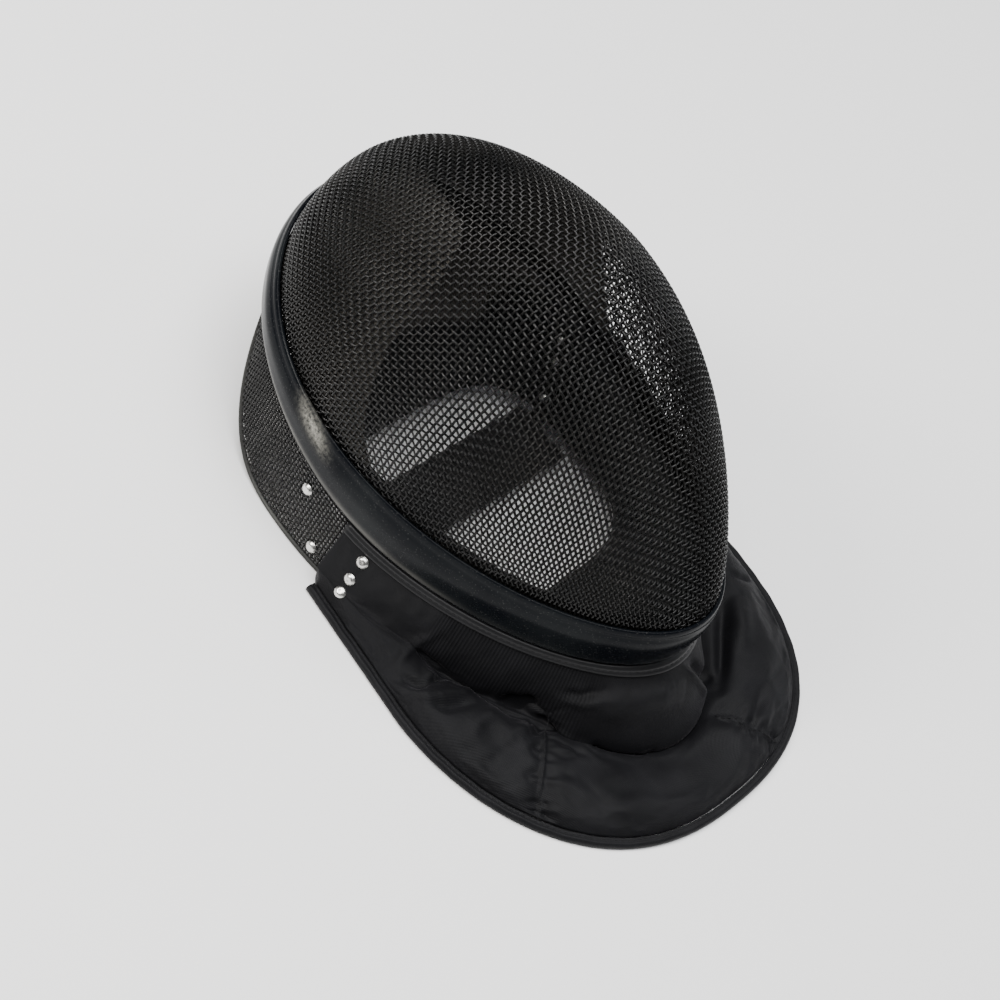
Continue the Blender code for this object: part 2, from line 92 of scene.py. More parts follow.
def set_table():
    mesh = bpy.data.meshes.new("table")
    half = 6.0
    mesh.from_pydata([(-half, -half, 0), (half, -half, 0), (half, half, 0), (-half, half, 0)],
                     [], [(0, 1, 2, 3)])
    table = bpy.data.objects.new("table", mesh)
    bpy.context.scene.collection.objects.link(table)
    paint = bpy.data.materials.new("pale_table")
    paint.use_nodes = True
    shader = paint.node_tree.nodes["Principled BSDF"]
    shader.inputs["Base Color"].default_value = (0.86, 0.86, 0.86, 1)
    shader.inputs["Roughness"].default_value = 0.6
    shader.inputs["Specular IOR Level"].default_value = 0.2
    mesh.materials.append(paint)


def set_air():
    world = bpy.data.worlds.new("air")
    world.use_nodes = True
    back = world.node_tree.nodes["Background"]
    back.inputs["Color"].default_value = (0.95, 0.97, 1.0, 1)
    back.inputs["Strength"].default_value = 0.16
    bpy.context.scene.world = world


set_camera()
set_table()
set_air()
soft_light("window", (-1.15, 0.75, 1.15), (0, 0, 0.05), (0.45, 0.6), 26, (1, 0.97, 0.93))
soft_light("ceiling", (-0.1, 0.2, 2.4), (0, 0, 0), (2.2, 2.2), 140)
soft_light("side", (1.2, -0.9, 1.0), (0, 0, 0.08), (0.4, 0.4), 6, (0.93, 0.96, 1))


# Front mesh. The face of the mask is a plain weave of steel wires about 1 mm thick, pressed
# over a form into an egg-shaped dome and enamelled black. Each wire bends over and under
# the next, and its cut end runs on behind the rubber trim.
MESH_LENGTH = 296 * MM
MESH_WIDTH = 182 * MM
MESH_DEPTH = 132 * MM
CROWN_WIDENING = 0.189      # the outline is egg shaped, wider at the crown
PEAK_PLACE = 0.06           # share of the half length from the middle to the crown
CROWN_POWER = (1.564, 2.0)
CHIN_POWER = (2.195, 0.965)
CROSS_POWER = (1.851, 1.874)
TRIM_LIFT = 96.8 * MM       # middle of the trim's plane above the table
TRIM_LEAN = math.radians(2.9)
EAR_SAG = 20.4 * MM         # the trim sweeps back at the ears
HALF_LENGTH = MESH_LENGTH / 2
HALF_WIDTH = MESH_WIDTH / 2
WIRE_PITCH = 3.1 * MM
WIRE_RADIUS = 0.67 * MM     # stouter than the real wire, as four sides stand for a round
WIRE_SIDES = 4
WIRE_CRIMP = 0.44 * MM      # how far a wire bends to either side of the weave's middle
WIRE_DEPTH = 1.05 * MM      # middle of the weave below the dome's outer face
WIRE_TUCK = 6 * MM          # cut end below the mesh edge
WIRE_SHOULDER = 0.22        # share of the pitch from a crossing to each bend beside it
WIRE_DRIFT = 0.10 * MM      # unevenness of the weave
STAND = np.array(Matrix.Rotation(TRIM_LEAN, 3, "X"))


class Value:
    """A node's output, on which Python's own arithmetic adds Math nodes."""

    def __init__(self, tree, socket):
        self.tree = tree
        self.socket = socket

    def other(self, out):
        return Value(self.tree, self.socket.node.outputs[out])

    def __add__(self, more):
        return self.tree.sum_up("ADD", self, more)

    def __radd__(self, more):
        return self.tree.sum_up("ADD", more, self)

    def __sub__(self, less):
        return self.tree.sum_up("SUBTRACT", self, less)

    def __rsub__(self, less):
        return self.tree.sum_up("SUBTRACT", less, self)

    def __mul__(self, times):
        return self.tree.sum_up("MULTIPLY", self, times)

    def __rmul__(self, times):
        return self.tree.sum_up("MULTIPLY", times, self)


class Tree:
    """The nodes of one finish, or of one Geometry Nodes maker."""

    def __init__(self, group):
        self.group = group

    def node(self, kind, settings=None, values=None, out=0):
        made = self.group.nodes.new(kind)
        for name, setting in (settings or {}).items():
            if name == "stops":
                ramp = made.color_ramp.elements
                while len(ramp) < len(setting):
                    ramp.new(1.0)
                for stop, (place, colour) in zip(ramp, setting):
                    stop.position = place
                    stop.color = (*colour, 1)
            else:
                setattr(made, name, setting)
        for name, value in (values or {}).items():
            self.feed(made.inputs[name], value)
        return Value(self, made.outputs[out]) if made.outputs else None

    def feed(self, socket, value):
        if isinstance(value, Value):
            self.group.links.new(value.socket, socket)
        else:
            socket.default_value = value

    def sum_up(self, operation, first, second=0.0):
        return self.node("ShaderNodeMath", {"operation": operation}, {0: first, 1: second})

    def named(self, name, kind="FLOAT_VECTOR"):
        """A value that the mesh's points carry, in a Geometry Nodes maker."""
        return self.node("GeometryNodeInputNamedAttribute", {"data_type": kind},
                         {"Name": name})


class Finish(Tree):
    """A material, with the steps that several of the mask's finishes share."""

    def __init__(self, name, fixed):
        self.material = bpy.data.materials.new(name)
        self.material.use_nodes = True
        super().__init__(self.material.node_tree)
        self.shader = self.group.nodes["Principled BSDF"]
        for socket, value in fixed.items():
            self.set(socket, value)

    def set(self, socket, value):
        if isinstance(value, tuple):
            value = (*value, 1.0)
        self.feed(self.shader.inputs[socket], value)

    def place(self):
        return self.node("ShaderNodeTexCoord", out=3)

    def cloth_place(self):
        """Along and across the cloth in metres, from the piece's own map."""
        flat = self.node("ShaderNodeUVMap", {"uv_map": "cloth"})
        along = self.node("ShaderNodeSeparateXYZ", values={"Vector": flat})
        return along, along.other(1)

    def painted(self, name):
        """A value painted on the piece's points."""
        return self.node("ShaderNodeAttribute", {"attribute_name": name}, out=2)

    def noise(self, per_metre, detail=2.0, roughness=0.5):
        return self.node("ShaderNodeTexNoise", {"noise_dimensions": "3D"},
                         {"Vector": self.place(), "Scale": per_metre,
                          "Detail": detail, "Roughness": roughness})

    def between(self, value, low, high, start=0.0, end=1.0):
        """The value from start to end, stretched to run from low to high."""
        return self.node("ShaderNodeMapRange", {"clamp": True},
                         {"Value": value, "From Min": start, "From Max": end,
                          "To Min": low, "To Max": high})

    def blend(self, share, first, second):
        """A colour between two."""
        return self.node("ShaderNodeMix", {"data_type": "RGBA"},
                         {0: share, 6: (*first, 1.0) if isinstance(first, tuple) else first,
                          7: (*second, 1.0) if isinstance(second, tuple) else second}, out=2)

    def wave(self, value, pitch):
        """-1 to 1, once in every pitch."""
        return self.sum_up("SINE", value * (2 * math.pi / pitch))

    def bump(self, height, depth, strength=1.0):
        self.feed(self.shader.inputs["Normal"],
                  self.node("ShaderNodeBump", values={"Height": height, "Distance": depth,
                                                      "Strength": strength}))


def wire_enamel():
    """Black enamel on steel, thin, a little lighter and darker in patches at random."""
    made = Finish("wire_enamel", {"Metallic": 0.1, "Coat Weight": 0.05,
                                  "Coat Roughness": 0.12, "Specular IOR Level": 0.22})
    cloud = made.noise(22.0, 3.0)
    grain = made.noise(900.0, 2.0)
    made.set("Base Color", made.blend(made.between(cloud, 0, 1, 0.35, 0.7),
                                      (0.003, 0.003, 0.003), (0.009, 0.0085, 0.008)))
    made.set("Roughness", made.between(grain, 0.18, 0.32, 0.3, 0.7))
    return made.material


def add_piece(name, mesh):
    piece = bpy.data.objects.new(name, mesh)
    bpy.context.scene.collection.objects.link(piece)
    return piece


def thread_object(name, chains):
    """Open lines as a mesh of edges. A chain is points, outward directions and lifts."""
    mesh = bpy.data.meshes.new(name)
    points = np.concatenate([chain[0] for chain in chains])
    edges = []
    start = 0
    for chain in chains:
        count = len(chain[0])
        edges += [(start + i, start + i + 1) for i in range(count - 1)]
        start += count
    mesh.from_pydata(points.tolist(), edges, [])
    outward = mesh.attributes.new("outward", "FLOAT_VECTOR", "POINT")
    outward.data.foreach_set("vector", np.concatenate([chain[1] for chain in chains]).ravel())
    lift = mesh.attributes.new("lift", "FLOAT", "POINT")
    lift.data.foreach_set("value", np.concatenate([chain[2] for chain in chains]))
    return add_piece(name, mesh)


def new_maker(name, inputs):
    """A Geometry Nodes tree with its named inputs, and the node that gives them."""
    group = bpy.data.node_groups.new(name, "GeometryNodeTree")
    group.interface.new_socket("Geometry", in_out="INPUT", socket_type="NodeSocketGeometry")
    for label, kind in inputs:
        group.interface.new_socket(label, in_out="INPUT", socket_type="NodeSocket" + kind)
    group.interface.new_socket("Geometry", in_out="OUTPUT", socket_type="NodeSocketGeometry")
    tree = Tree(group)
    given = tree.node("NodeGroupInput")
    return tree, given


def end_maker(tree, shape, finish):
    """Every maker ends in plain geometry with its finish on."""
    shape = tree.node("GeometryNodeRealizeInstances", values={"Geometry": shape})
    shape = tree.node("GeometryNodeSetMaterial", values={"Geometry": shape,
                                                         "Material": finish})
    tree.node("NodeGroupOutput", values={"Geometry": shape})
    return tree.group


def wire_maker():
    """Tubes along lines, each point lifted off its line by its share of the crimp."""
    tree, given = new_maker("wire_maker", [("Wire radius", "Float"), ("Crimp", "Float"),
                                           ("Sides", "Int"), ("Finish", "Material")])
    radius, crimp, sides, finish = [given.other(i) for i in range(1, 5)]
    outward, lift = tree.named("outward"), tree.named("lift", "FLOAT")
    offset = tree.node("ShaderNodeVectorMath", {"operation": "SCALE"},
                       {0: outward, "Scale": lift * crimp})
    shape = tree.node("GeometryNodeSetPosition", values={"Geometry": given, "Offset": offset})
    shape = tree.node("GeometryNodeMeshToCurve", values={"Mesh": shape})
    shape = tree.node("GeometryNodeSetCurveNormal", {"mode": "FREE"},
                      {"Curve": shape, "Normal": outward})
    ring = tree.node("GeometryNodeCurvePrimitiveCircle", {"mode": "RADIUS"},
                     {"Resolution": sides, "Radius": radius})
    shape = tree.node("GeometryNodeCurveToMesh", values={"Curve": shape, "Profile Curve": ring,
                                                         "Fill Caps": True})
    shape = tree.node("GeometryNodeSetShadeSmooth", values={"Geometry": shape})
    return end_maker(tree, shape, finish)


def as_plain_mesh(piece, name):
    """The piece as its modifiers make it, with nothing live on it."""
    bpy.context.view_layer.update()
    seen = bpy.context.evaluated_depsgraph_get()
    mesh = bpy.data.meshes.new_from_object(piece.evaluated_get(seen))
    bpy.data.objects.remove(piece, do_unlink=True)
    mesh.name = name
    return add_piece(name, mesh)


def run_maker(name, source, maker, settings):
    """The source with the maker's result as a plain mesh."""
    step = source.modifiers.new("maker", "NODES")
    step.node_group = maker
    for item in maker.interface.items_tree:
        if item.in_out == "INPUT" and item.name in settings:
            step[item.identifier] = settings[item.name]
    return as_plain_mesh(source, name)


def stand_up(points):
    """From the mask's own plane, middle at the origin, to the table's frame."""
    return np.asarray(points) @ STAND.T + np.array([0, MIDDLE, TRIM_LIFT])


def dome_height(x, y):
    """Height of the mesh's outer face above the mask's plane."""
    along = np.clip(y / HALF_LENGTH, -1.0, 1.0)
    half = np.sqrt(1 - along * along)
    width = np.maximum(HALF_WIDTH * half * (1 + CROWN_WIDENING * along), 1e-9)
    side = np.minimum(np.abs(x) / width, 1.0)
    to_crown = np.clip((along - PEAK_PLACE) / (1 - PEAK_PLACE), 0, 1)
    to_chin = np.clip((PEAK_PLACE - along) / (1 + PEAK_PLACE), 0, 1)
    crown = (1 - to_crown ** CROWN_POWER[0]) ** (1 / CROWN_POWER[1])
    chin = (1 - to_chin ** CHIN_POWER[0]) ** (1 / CHIN_POWER[1])
    section = (1 - side ** CROSS_POWER[0]) ** (1 / CROSS_POWER[1])
    return -EAR_SAG * half * half + MESH_DEPTH * np.where(along > PEAK_PLACE, crown,
                                                          chin) * section


def dome_outward(x, y):
    step = 0.05 * MM
    slope_x = (dome_height(x + step, y) - dome_height(x - step, y)) / (2 * step)
    slope_y = (dome_height(x, y + step) - dome_height(x, y - step)) / (2 * step)
    normal = np.stack([-slope_x, -slope_y, np.ones_like(slope_x)], axis=-1)
    return normal / np.linalg.norm(normal, axis=-1, keepdims=True)


def running_length(points):
    return np.concatenate([[0.0], np.cumsum(np.linalg.norm(np.diff(points, axis=0), axis=1))])


def dome_sections():
    """Half sections of the dome from the ridge to the tucked edge, from chin to crown."""
    sections = []
    for turn in np.linspace(-math.pi / 2, math.pi / 2, 701):
        y = HALF_LENGTH * math.sin(turn)
        along = math.sin(turn)
        width = HALF_WIDTH * math.cos(turn) * (1 + CROWN_WIDENING * along)
        x = width * np.sin(np.linspace(0, math.pi / 2, 101))
        z = dome_height(x, y)
        x = np.append(x, x[-1])
        z = np.append(z, z[-1] - WIRE_TUCK)
        sections.append((running_length(np.stack([x, z], axis=1)), x, y, z))
    return sections


def dome_line(sections, across):
    """The line at that distance from the ridge along the weave, with its own length."""
    points = [(np.interp(across, run, x), y, np.interp(across, run, z))
              for run, x, y, z in sections if run[-1] >= across]
    points = [(points[0][0], points[0][1], points[0][2] - WIRE_TUCK)] + points
    points.append((points[-1][0], points[-1][1], points[-1][2] - WIRE_TUCK))
    points = np.array(points)
    run = running_length(points)
    return points, run - np.interp(0.0, points[:, 1], run)


def on_line(line, places):
    points, run = line
    return np.stack([np.interp(places, run, points[:, axis]) for axis in range(3)], axis=-1)


def wire_chain(points, lifts):
    """A wire's points in the table's frame, sunk to the middle of the weave."""
    outward = dome_outward(points[:, 0], points[:, 1])
    middle = points - outward * WIRE_DEPTH
    return stand_up(middle), outward @ STAND.T, np.array(lifts, dtype=float)


def front_weave():
    """The chains of the wires from chin to crown, and of those from ear to ear."""
    rng = np.random.default_rng(7)
    sections = dome_sections()
    widest = max(run[-1] for run, x, y, z in sections)
    most = int(widest / WIRE_PITCH)
    drift = rng.uniform(-WIRE_DRIFT, WIRE_DRIFT, 2 * most + 1)
    ridge = dome_line(sections, 0.0)
    first = math.ceil(ridge[1][0] / WIRE_PITCH)
    last = math.floor(ridge[1][-1] / WIRE_PITCH)
    rows = np.arange(first, last + 1)
    row_place = rows * WIRE_PITCH + rng.uniform(-WIRE_DRIFT, WIRE_DRIFT, len(rows))
    warp = []
    crossings = {row: [] for row in rows}
    shoulder = WIRE_SHOULDER * WIRE_PITCH
    for column in range(-most, most + 1):
        middle = column * WIRE_PITCH + drift[column + most]
        hand = -1.0 if middle < 0 else 1.0
        line = dome_line(sections, min(abs(middle), widest - 1e-6))
        seen = (row_place > line[1][0] + shoulder) & (row_place < line[1][-1] - shoulder)
        if seen.sum() > 1:
            places = np.stack([row_place[seen] - shoulder, row_place[seen] + shoulder], axis=1)
            signs = np.repeat(1.0 - 2.0 * ((rows[seen] + column) % 2), 2)
            points = on_line(line, places.ravel()) * np.array([hand, 1, 1])
            warp.append(wire_chain(points, signs))
        for bend in (-shoulder, shoulder):
            across = middle + bend
            if abs(across) >= widest:
                continue
            hand = -1.0 if across < 0 else 1.0
            line = dome_line(sections, abs(across))
            seen = (row_place > line[1][0]) & (row_place < line[1][-1])
            points = on_line(line, row_place[seen]) * np.array([hand, 1, 1])
            for row, point in zip(rows[seen], points):
                crossings[row].append((point, -1.0 + 2.0 * ((row + column) % 2)))
    weft = [wire_chain(np.array([point for point, lift in found]),
                       [lift for point, lift in found])
            for found in crossings.values() if len(found) > 3]
    return warp, weft


enamel = wire_enamel()
tube_maker = wire_maker()
for word, chains in zip(("warp", "weft"), front_weave()):
    wires = run_maker("front_mesh_" + word, thread_object(word, chains), tube_maker,
                      {"Wire radius": WIRE_RADIUS, "Crimp": WIRE_CRIMP,
                       "Sides": WIRE_SIDES, "Finish": enamel})
    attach(wires, "root")
    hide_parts("front_mesh")


# Trim. A moulded black rubber band grips the edge of the mesh all round, narrower at the
# crown. Its lip stands on the wires, its face is rounded and polished by handling, and its
# lower edge turns in over the side meshes and the bib.
TRIM_BAND = 33 * MM
TRIM_BAND_CROWN = 21 * MM
TRIM_NARROWS = (-0.15, 0.75)  # share of the half length between which the band narrows
TRIM_BULGE = 5.2 * MM
TRIM_LIP = 2 * MM
TRIM_LIP_RISE = 0.4 * MM
TRIM_ROWS = ((0.72, 0.14), (1.0, 0.38), (0.98, 0.66), (0.88, 0.90), (0.62, 1.0))
TRIM_INNER = (1.0, 0.97, 0.5, 0.03)  # shares down the band of the points inside
TRIM_STATIONS = 240
TRIM_FACE = 31              # points of each section on the outer face
TRIM_GROOVE = 0.5 * MM      # where the lip was moulded on
GROOVE_PLACE = (0.13, 0.035)  # share down the band, and half width
TRIM_WAVE = 0.084 * MM      # unevenness of the rubber, seen in its highlight
TRIM_TURNS = (3, 7, 12, 19)
# Painted reflection: a pale patch on the trim's face, along the line through these places, where
# the rubber mirrors light.
TRIM_REFLECTION = ((303, 400), (310, 420), (318, 440), (325, 457))  # the photograph's places
REFLECTION_WIDTH = 4.2 * MM
EDGE_HIGHLIGHT_ROW = 24.5             # the point of a section along which a pale line is painted as the highlight of the band's lower edge
GAP = 0.35 * MM             # between pieces that touch


def ease(value, start, end):
    """0 below the start and 1 above the end, smooth between them."""
    share = min(max((value - start) / (end - start), 0.0), 1.0)
    return share * share * (3 - 2 * share)


def mix(first, second, share):
    return first + (second - first) * share


def outline(angle, out=0.0):
    """Point of the mesh's egg-shaped edge in the mask's own plane, moved outward."""
    def bare(turn):
        up = math.sin(turn)
        return np.array([HALF_WIDTH * math.cos(turn) * (1 + CROWN_WIDENING * up),
                         HALF_LENGTH * up])
    run = bare(angle + 0.001) - bare(angle - 0.001)
    run /= np.linalg.norm(run)
    return bare(angle) + np.array([run[1], -run[0]]) * out


def trim_band(angle):
    return mix(TRIM_BAND, TRIM_BAND_CROWN, ease(math.sin(angle), *TRIM_NARROWS))


def trim_point(angle, out, down):
    """A point by the trim: outward from the mesh edge, and below it."""
    flat = outline(angle, out)
    return stand_up((flat[0], flat[1], -EAR_SAG * math.cos(angle) ** 2 - down))


def through(points, count):
    """As many points on a smooth line through the given ones."""
    points = np.asarray(points, dtype=float)
    ends = np.concatenate([[2 * points[0] - points[1]], points, [2 * points[-1] - points[-2]]])
    place = np.linspace(0, len(points) - 1, count)
    first = np.minimum(place.astype(int), len(points) - 2)
    t = (place - first).reshape(-1, *[1] * (points.ndim - 1))
    a, b, c, d = [ends[first + step] for step in range(4)]
    return 0.5 * (2 * b + (c - a) * t + (2 * a - 5 * b + 4 * c - d) * t ** 2
                  + (3 * b - a - 3 * c + d) * t ** 3)


def shell(name, grid, closed, material, flat=None):
    """A closed body through sections that are loops of points, with a map in metres."""
    grid = np.asarray(grid, dtype=float)
    count, ring = grid.shape[:2]
    first = np.arange(count if closed else count - 1)
    a, i = np.meshgrid(first, np.arange(ring), indexing="ij")
    b, j = (a + 1) % count, (i + 1) % ring
    quads = np.stack([a * ring + i, a * ring + j, b * ring + j, b * ring + i], axis=-1)
    quads = quads.reshape(-1, 4)
    points = grid.reshape(-1, 3)
    one, two, three, four = [points[quads[:, k]] for k in range(4)]
    volume = (np.cross(one, two) * three + np.cross(one, three) * four).sum()
    if flat is None:
        step = np.linalg.norm(np.roll(grid, -1, axis=0) - grid, axis=2).mean(axis=1)
        along = np.concatenate([[0.0], np.cumsum(step)])
        step = np.linalg.norm(np.roll(grid, -1, axis=1) - grid, axis=2)
        across = np.concatenate([np.zeros((count, 1)), np.cumsum(step, axis=1)], axis=1)
        corners = [(along[a], across[a, i]), (along[a], across[a, i + 1]),
                   (along[a + 1], across[b, i + 1]), (along[a + 1], across[b, i])]
    else:
        corners = [(flat[s, r, 0], flat[s, r, 1]) for s, r in ((a, i), (a, j), (b, j), (b, i))]
    places = np.stack([np.stack(pair, axis=-1).reshape(-1, 2) for pair in corners], axis=1)
    if volume < 0:
        quads, places = quads[:, ::-1], places[:, ::-1]
    faces = quads.tolist()
    if not closed:
        ends = [list(range(ring)), list(range((count - 1) * ring, count * ring))]
        ends[0 if volume > 0 else 1].reverse()
        faces += ends
        for end in ends:
            places = np.concatenate([places.reshape(-1, 2), points[end][:, 1:]])
    mesh = bpy.data.meshes.new(name)
    mesh.from_pydata(points.tolist(), [], faces)
    cloth = mesh.uv_layers.new(name="cloth")
    cloth.data.foreach_set("uv", places.reshape(-1))
    mesh.polygons.foreach_set("use_smooth", [True] * len(faces))
    mesh.materials.append(material)
    return add_piece(name, mesh)


def seen_line(pixels, surface, spacing=2.5 * MM):
    """A line drawn on the photograph's frame, laid on the surface that the camera sees."""
    camera = bpy.context.scene.camera
    pixel = SENSOR / PHOTO
    found = []
    for (x0, y0), (x1, y1) in zip(pixels[:-1], pixels[1:]):
        for share in np.linspace(0, 1, 9):
            x, y = mix(x0, x1, share), mix(y0, y1, share)
            way = Vector(((x - PHOTO / 2) * pixel, (PHOTO / 2 - y) * pixel, -LENS))
            way = camera.matrix_world.to_3x3() @ way.normalized()
            place, normal, face, gap = surface.ray_cast(camera.matrix_world.translation, way)
            if place is not None:
                found.append(np.array(place))
    kept = found[:1]
    for place in found[1:]:
        if np.linalg.norm(place - kept[-1]) > spacing:
            kept.append(place)
    return np.array(kept)


def near_line(points, line):
    """How far each point lies from a line, and how far along the line that is."""
    gap = np.full(len(points), 1.0)
    along = np.zeros(len(points))
    run = 0.0
    for first, second in zip(line[:-1], line[1:]):
        way = second - first
        length = max(np.linalg.norm(way), 1e-6)
        share = np.clip((points - first) @ way / length ** 2, 0, 1)
        away = np.linalg.norm(points - first - share[:, None] * way, axis=1)
        closer = away < gap
        gap[closer] = away[closer]
        along[closer] = run + share[closer] * length
        run += length
    return gap, along


def surface_of(piece):
    return BVHTree.FromObject(piece, bpy.context.evaluated_depsgraph_get())


def read_rows(items, label, width=3):
    flat = np.empty(len(items) * width, dtype=np.float32)
    items.foreach_get(label, flat)
    return flat.reshape(-1, width).astype(float)


def mesh_points(piece):
    return read_rows(piece.data.vertices, "co")


def set_points(piece, points):
    piece.data.vertices.foreach_set("co", points.astype(np.float32).ravel())
    piece.data.update()


def give_values(piece, name, values):
    layer = piece.data.attributes.new(name, "FLOAT", "POINT")
    layer.data.foreach_set("value", np.asarray(values, dtype=np.float32))


def near(gap, width):
    """1 on a line, fading to nothing within about twice the width."""
    return np.exp(-(gap / width) ** 2)


def trim_rubber():
    """Black rubber with a soft polish, a pale patch at one place as a painted reflection, and a
    pale line along its lower edge as a painted highlight.
    """
    made = Finish("trim_rubber", {"Coat Weight": 0.02, "Coat Roughness": 0.1,
                                  "Specular IOR Level": 0.05})
    dust = made.painted("dust")
    worn = made.painted("worn")
    cloud = made.noise(22.0, 3.0)
    grain = made.noise(520.0, 4.0, roughness=0.7)
    speck = made.between(made.noise(1100.0, 1.0), 0, 1, 0.66, 0.72)
    black = made.blend(made.between(cloud, 0, 1, 0.42, 0.72), (0.0026, 0.0032, 0.0045),
                       (0.0075, 0.0088, 0.0098))
    black = made.blend(speck * 0.35, black, (0.07, 0.07, 0.068))
    # Painted highlight: a pale line along the band's lower edge, where the rubber mirrors the
    # table.
    black = made.blend(worn * made.between(cloud, 0.5, 1, 0.3, 0.7), black, (0.11, 0.108, 0.10))
    # Painted reflection: pale colour mixed into the black over the patch, which is also made
    # rougher there.
    made.set("Base Color", made.blend(dust * made.between(grain + cloud * 0.6, 0.1, 1, 0.62, 0.98),
                                      black, (0.34, 0.33, 0.29)))
    made.set("Roughness", made.between(grain, 0.20, 0.27, 0.3, 0.8) + dust * 0.25)
    made.bump(made.noise(60.0, 2.0), 0.10 * MM, 0.4)
    return made.material


rng = np.random.default_rng(11)
wave = rng.uniform(0, 2 * math.pi, 4)
trim_sections = []
for angle in np.linspace(0, 2 * math.pi, TRIM_STATIONS, endpoint=False):
    band = trim_band(angle)
    rows = [(GAP, 0.0), (TRIM_LIP, -TRIM_LIP_RISE)]
    rows += [(TRIM_BULGE * out, band * down) for out, down in TRIM_ROWS]
    face = through(rows, TRIM_FACE)
    down = face[:, 1] / band
    face[:, 0] -= TRIM_GROOVE * near(down - GROOVE_PLACE[0], GROOVE_PLACE[1])
    uneven = sum(math.sin(turn * angle + wave[i]) for i, turn in enumerate(TRIM_TURNS))
    face[:, 0] += TRIM_WAVE * uneven * np.sin(math.pi * np.clip(down, 0, 1))
    inner = [(GAP, band * share) for share in TRIM_INNER]
    trim_sections.append([trim_point(angle, out, low)
                          for out, low in [*map(tuple, face), *inner]])
trim = shell("trim_rubber_band", trim_sections, True, trim_rubber())
surface = surface_of(trim)
points = mesh_points(trim)
# Where the painted reflection's patch lies on the trim.
reflection_line = seen_line(TRIM_REFLECTION, surface)
gap, along = near_line(points, reflection_line)
fade = np.sin(math.pi * np.clip(along / running_length(reflection_line)[-1], 0.05, 0.95)) ** 0.6
give_values(trim, "dust", fade * near(gap, REFLECTION_WIDTH))
# The painted highlight, along one point of each section of the face, on one side of the mask and
# fading towards the chin.
row = np.tile(np.arange(len(trim_sections[0])), TRIM_STATIONS)
give_values(trim, "worn", near(row - EDGE_HIGHLIGHT_ROW, 1.6) * np.where(row < TRIM_FACE, 1, 0)
            * np.clip((-points[:, 0] / HALF_WIDTH - 0.3) / 0.5, 0.0, 1)
            * np.clip((points[:, 1] + 40 * MM) / (60 * MM), 0.1, 1))
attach(trim, "root")
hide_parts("trim")


# Side meshes. At each ear a panel of finer woven wire runs from inside the trim down to a
# bound rim, which stands on the table by the bib and rises towards the crown.
MESH_STATIONS = 48
SIDE_FIRST = 17             # stations of the outline that the panel spans
SIDE_LAST = 26
SIDE_FLARE = 10 * MM
SIDE_FLARE_CROWN = 8 * MM
SIDE_LIFT_START = 0.257
SIDE_LIFT_POWER = 2.6
SIDE_CROWN_DROP = 3 * MM
SIDE_KNEE = 1 * MM
SIDE_TUCK = 7 * MM
SIDE_PITCH = 2.25 * MM
SIDE_RADIUS = 0.58 * MM
SIDE_CRIMP = 0.3 * MM
SIDE_DEPTH = 0.8 * MM       # middle of the weave below the panel's outer face
SIDE_BOUND = 1 * MM         # length of each upright wire that the piping covers
RIM_WIRE = 3 * MM
RIM_EDGE_HIGHLIGHT = 0.4              # share of the trim's painted edge highlight given to the piping all along
HEAD_MIDDLE = np.array([0, MIDDLE, 50 * MM])


def side_rim(place, out=0.0):
    """Rear rim of the panel: on the table at the ear, rising to the crown."""
    angle = 2 * math.pi * place / MESH_STATIONS
    crown = math.sin(2 * math.pi * SIDE_FIRST / MESH_STATIONS)
    lift = max(math.sin(angle) - SIDE_LIFT_START, 0.0) / (crown - SIDE_LIFT_START)
    flare = mix(SIDE_FLARE, SIDE_FLARE_CROWN, ease(math.sin(angle), -0.1, 0.4))
    low = trim_point(angle, flare * (1 - lift ** 3) + out, trim_band(angle))
    low[2] = mix(RIM_WIRE + GAP, low[2] - SIDE_CROWN_DROP, lift ** SIDE_LIFT_POWER)
    return low


def side_knee(place, out=0.0):
    angle = 2 * math.pi * place / MESH_STATIONS
    return trim_point(angle, out, trim_band(angle) + SIDE_KNEE)


def side_point(place, height, out=0.0):
    """On the panel's outer face: height 0 at the rim, 1 at the trim's lower edge."""
    return mix(side_rim(place, out), side_knee(place, out), height)


def square_to(run, rise, point, inside):
    """Square to two directions on a surface, away from a point inside."""
    normal = np.cross(run, rise)
    normal /= np.linalg.norm(normal)
    return normal if normal @ (point - inside) > 0 else -normal


def side_outward(place):
    return square_to(side_point(place + 0.1, 0.5) - side_point(place - 0.1, 0.5),
                     side_point(place, 1.0) - side_point(place, 0.0),
                     side_point(place, 0.5), HEAD_MIDDLE)


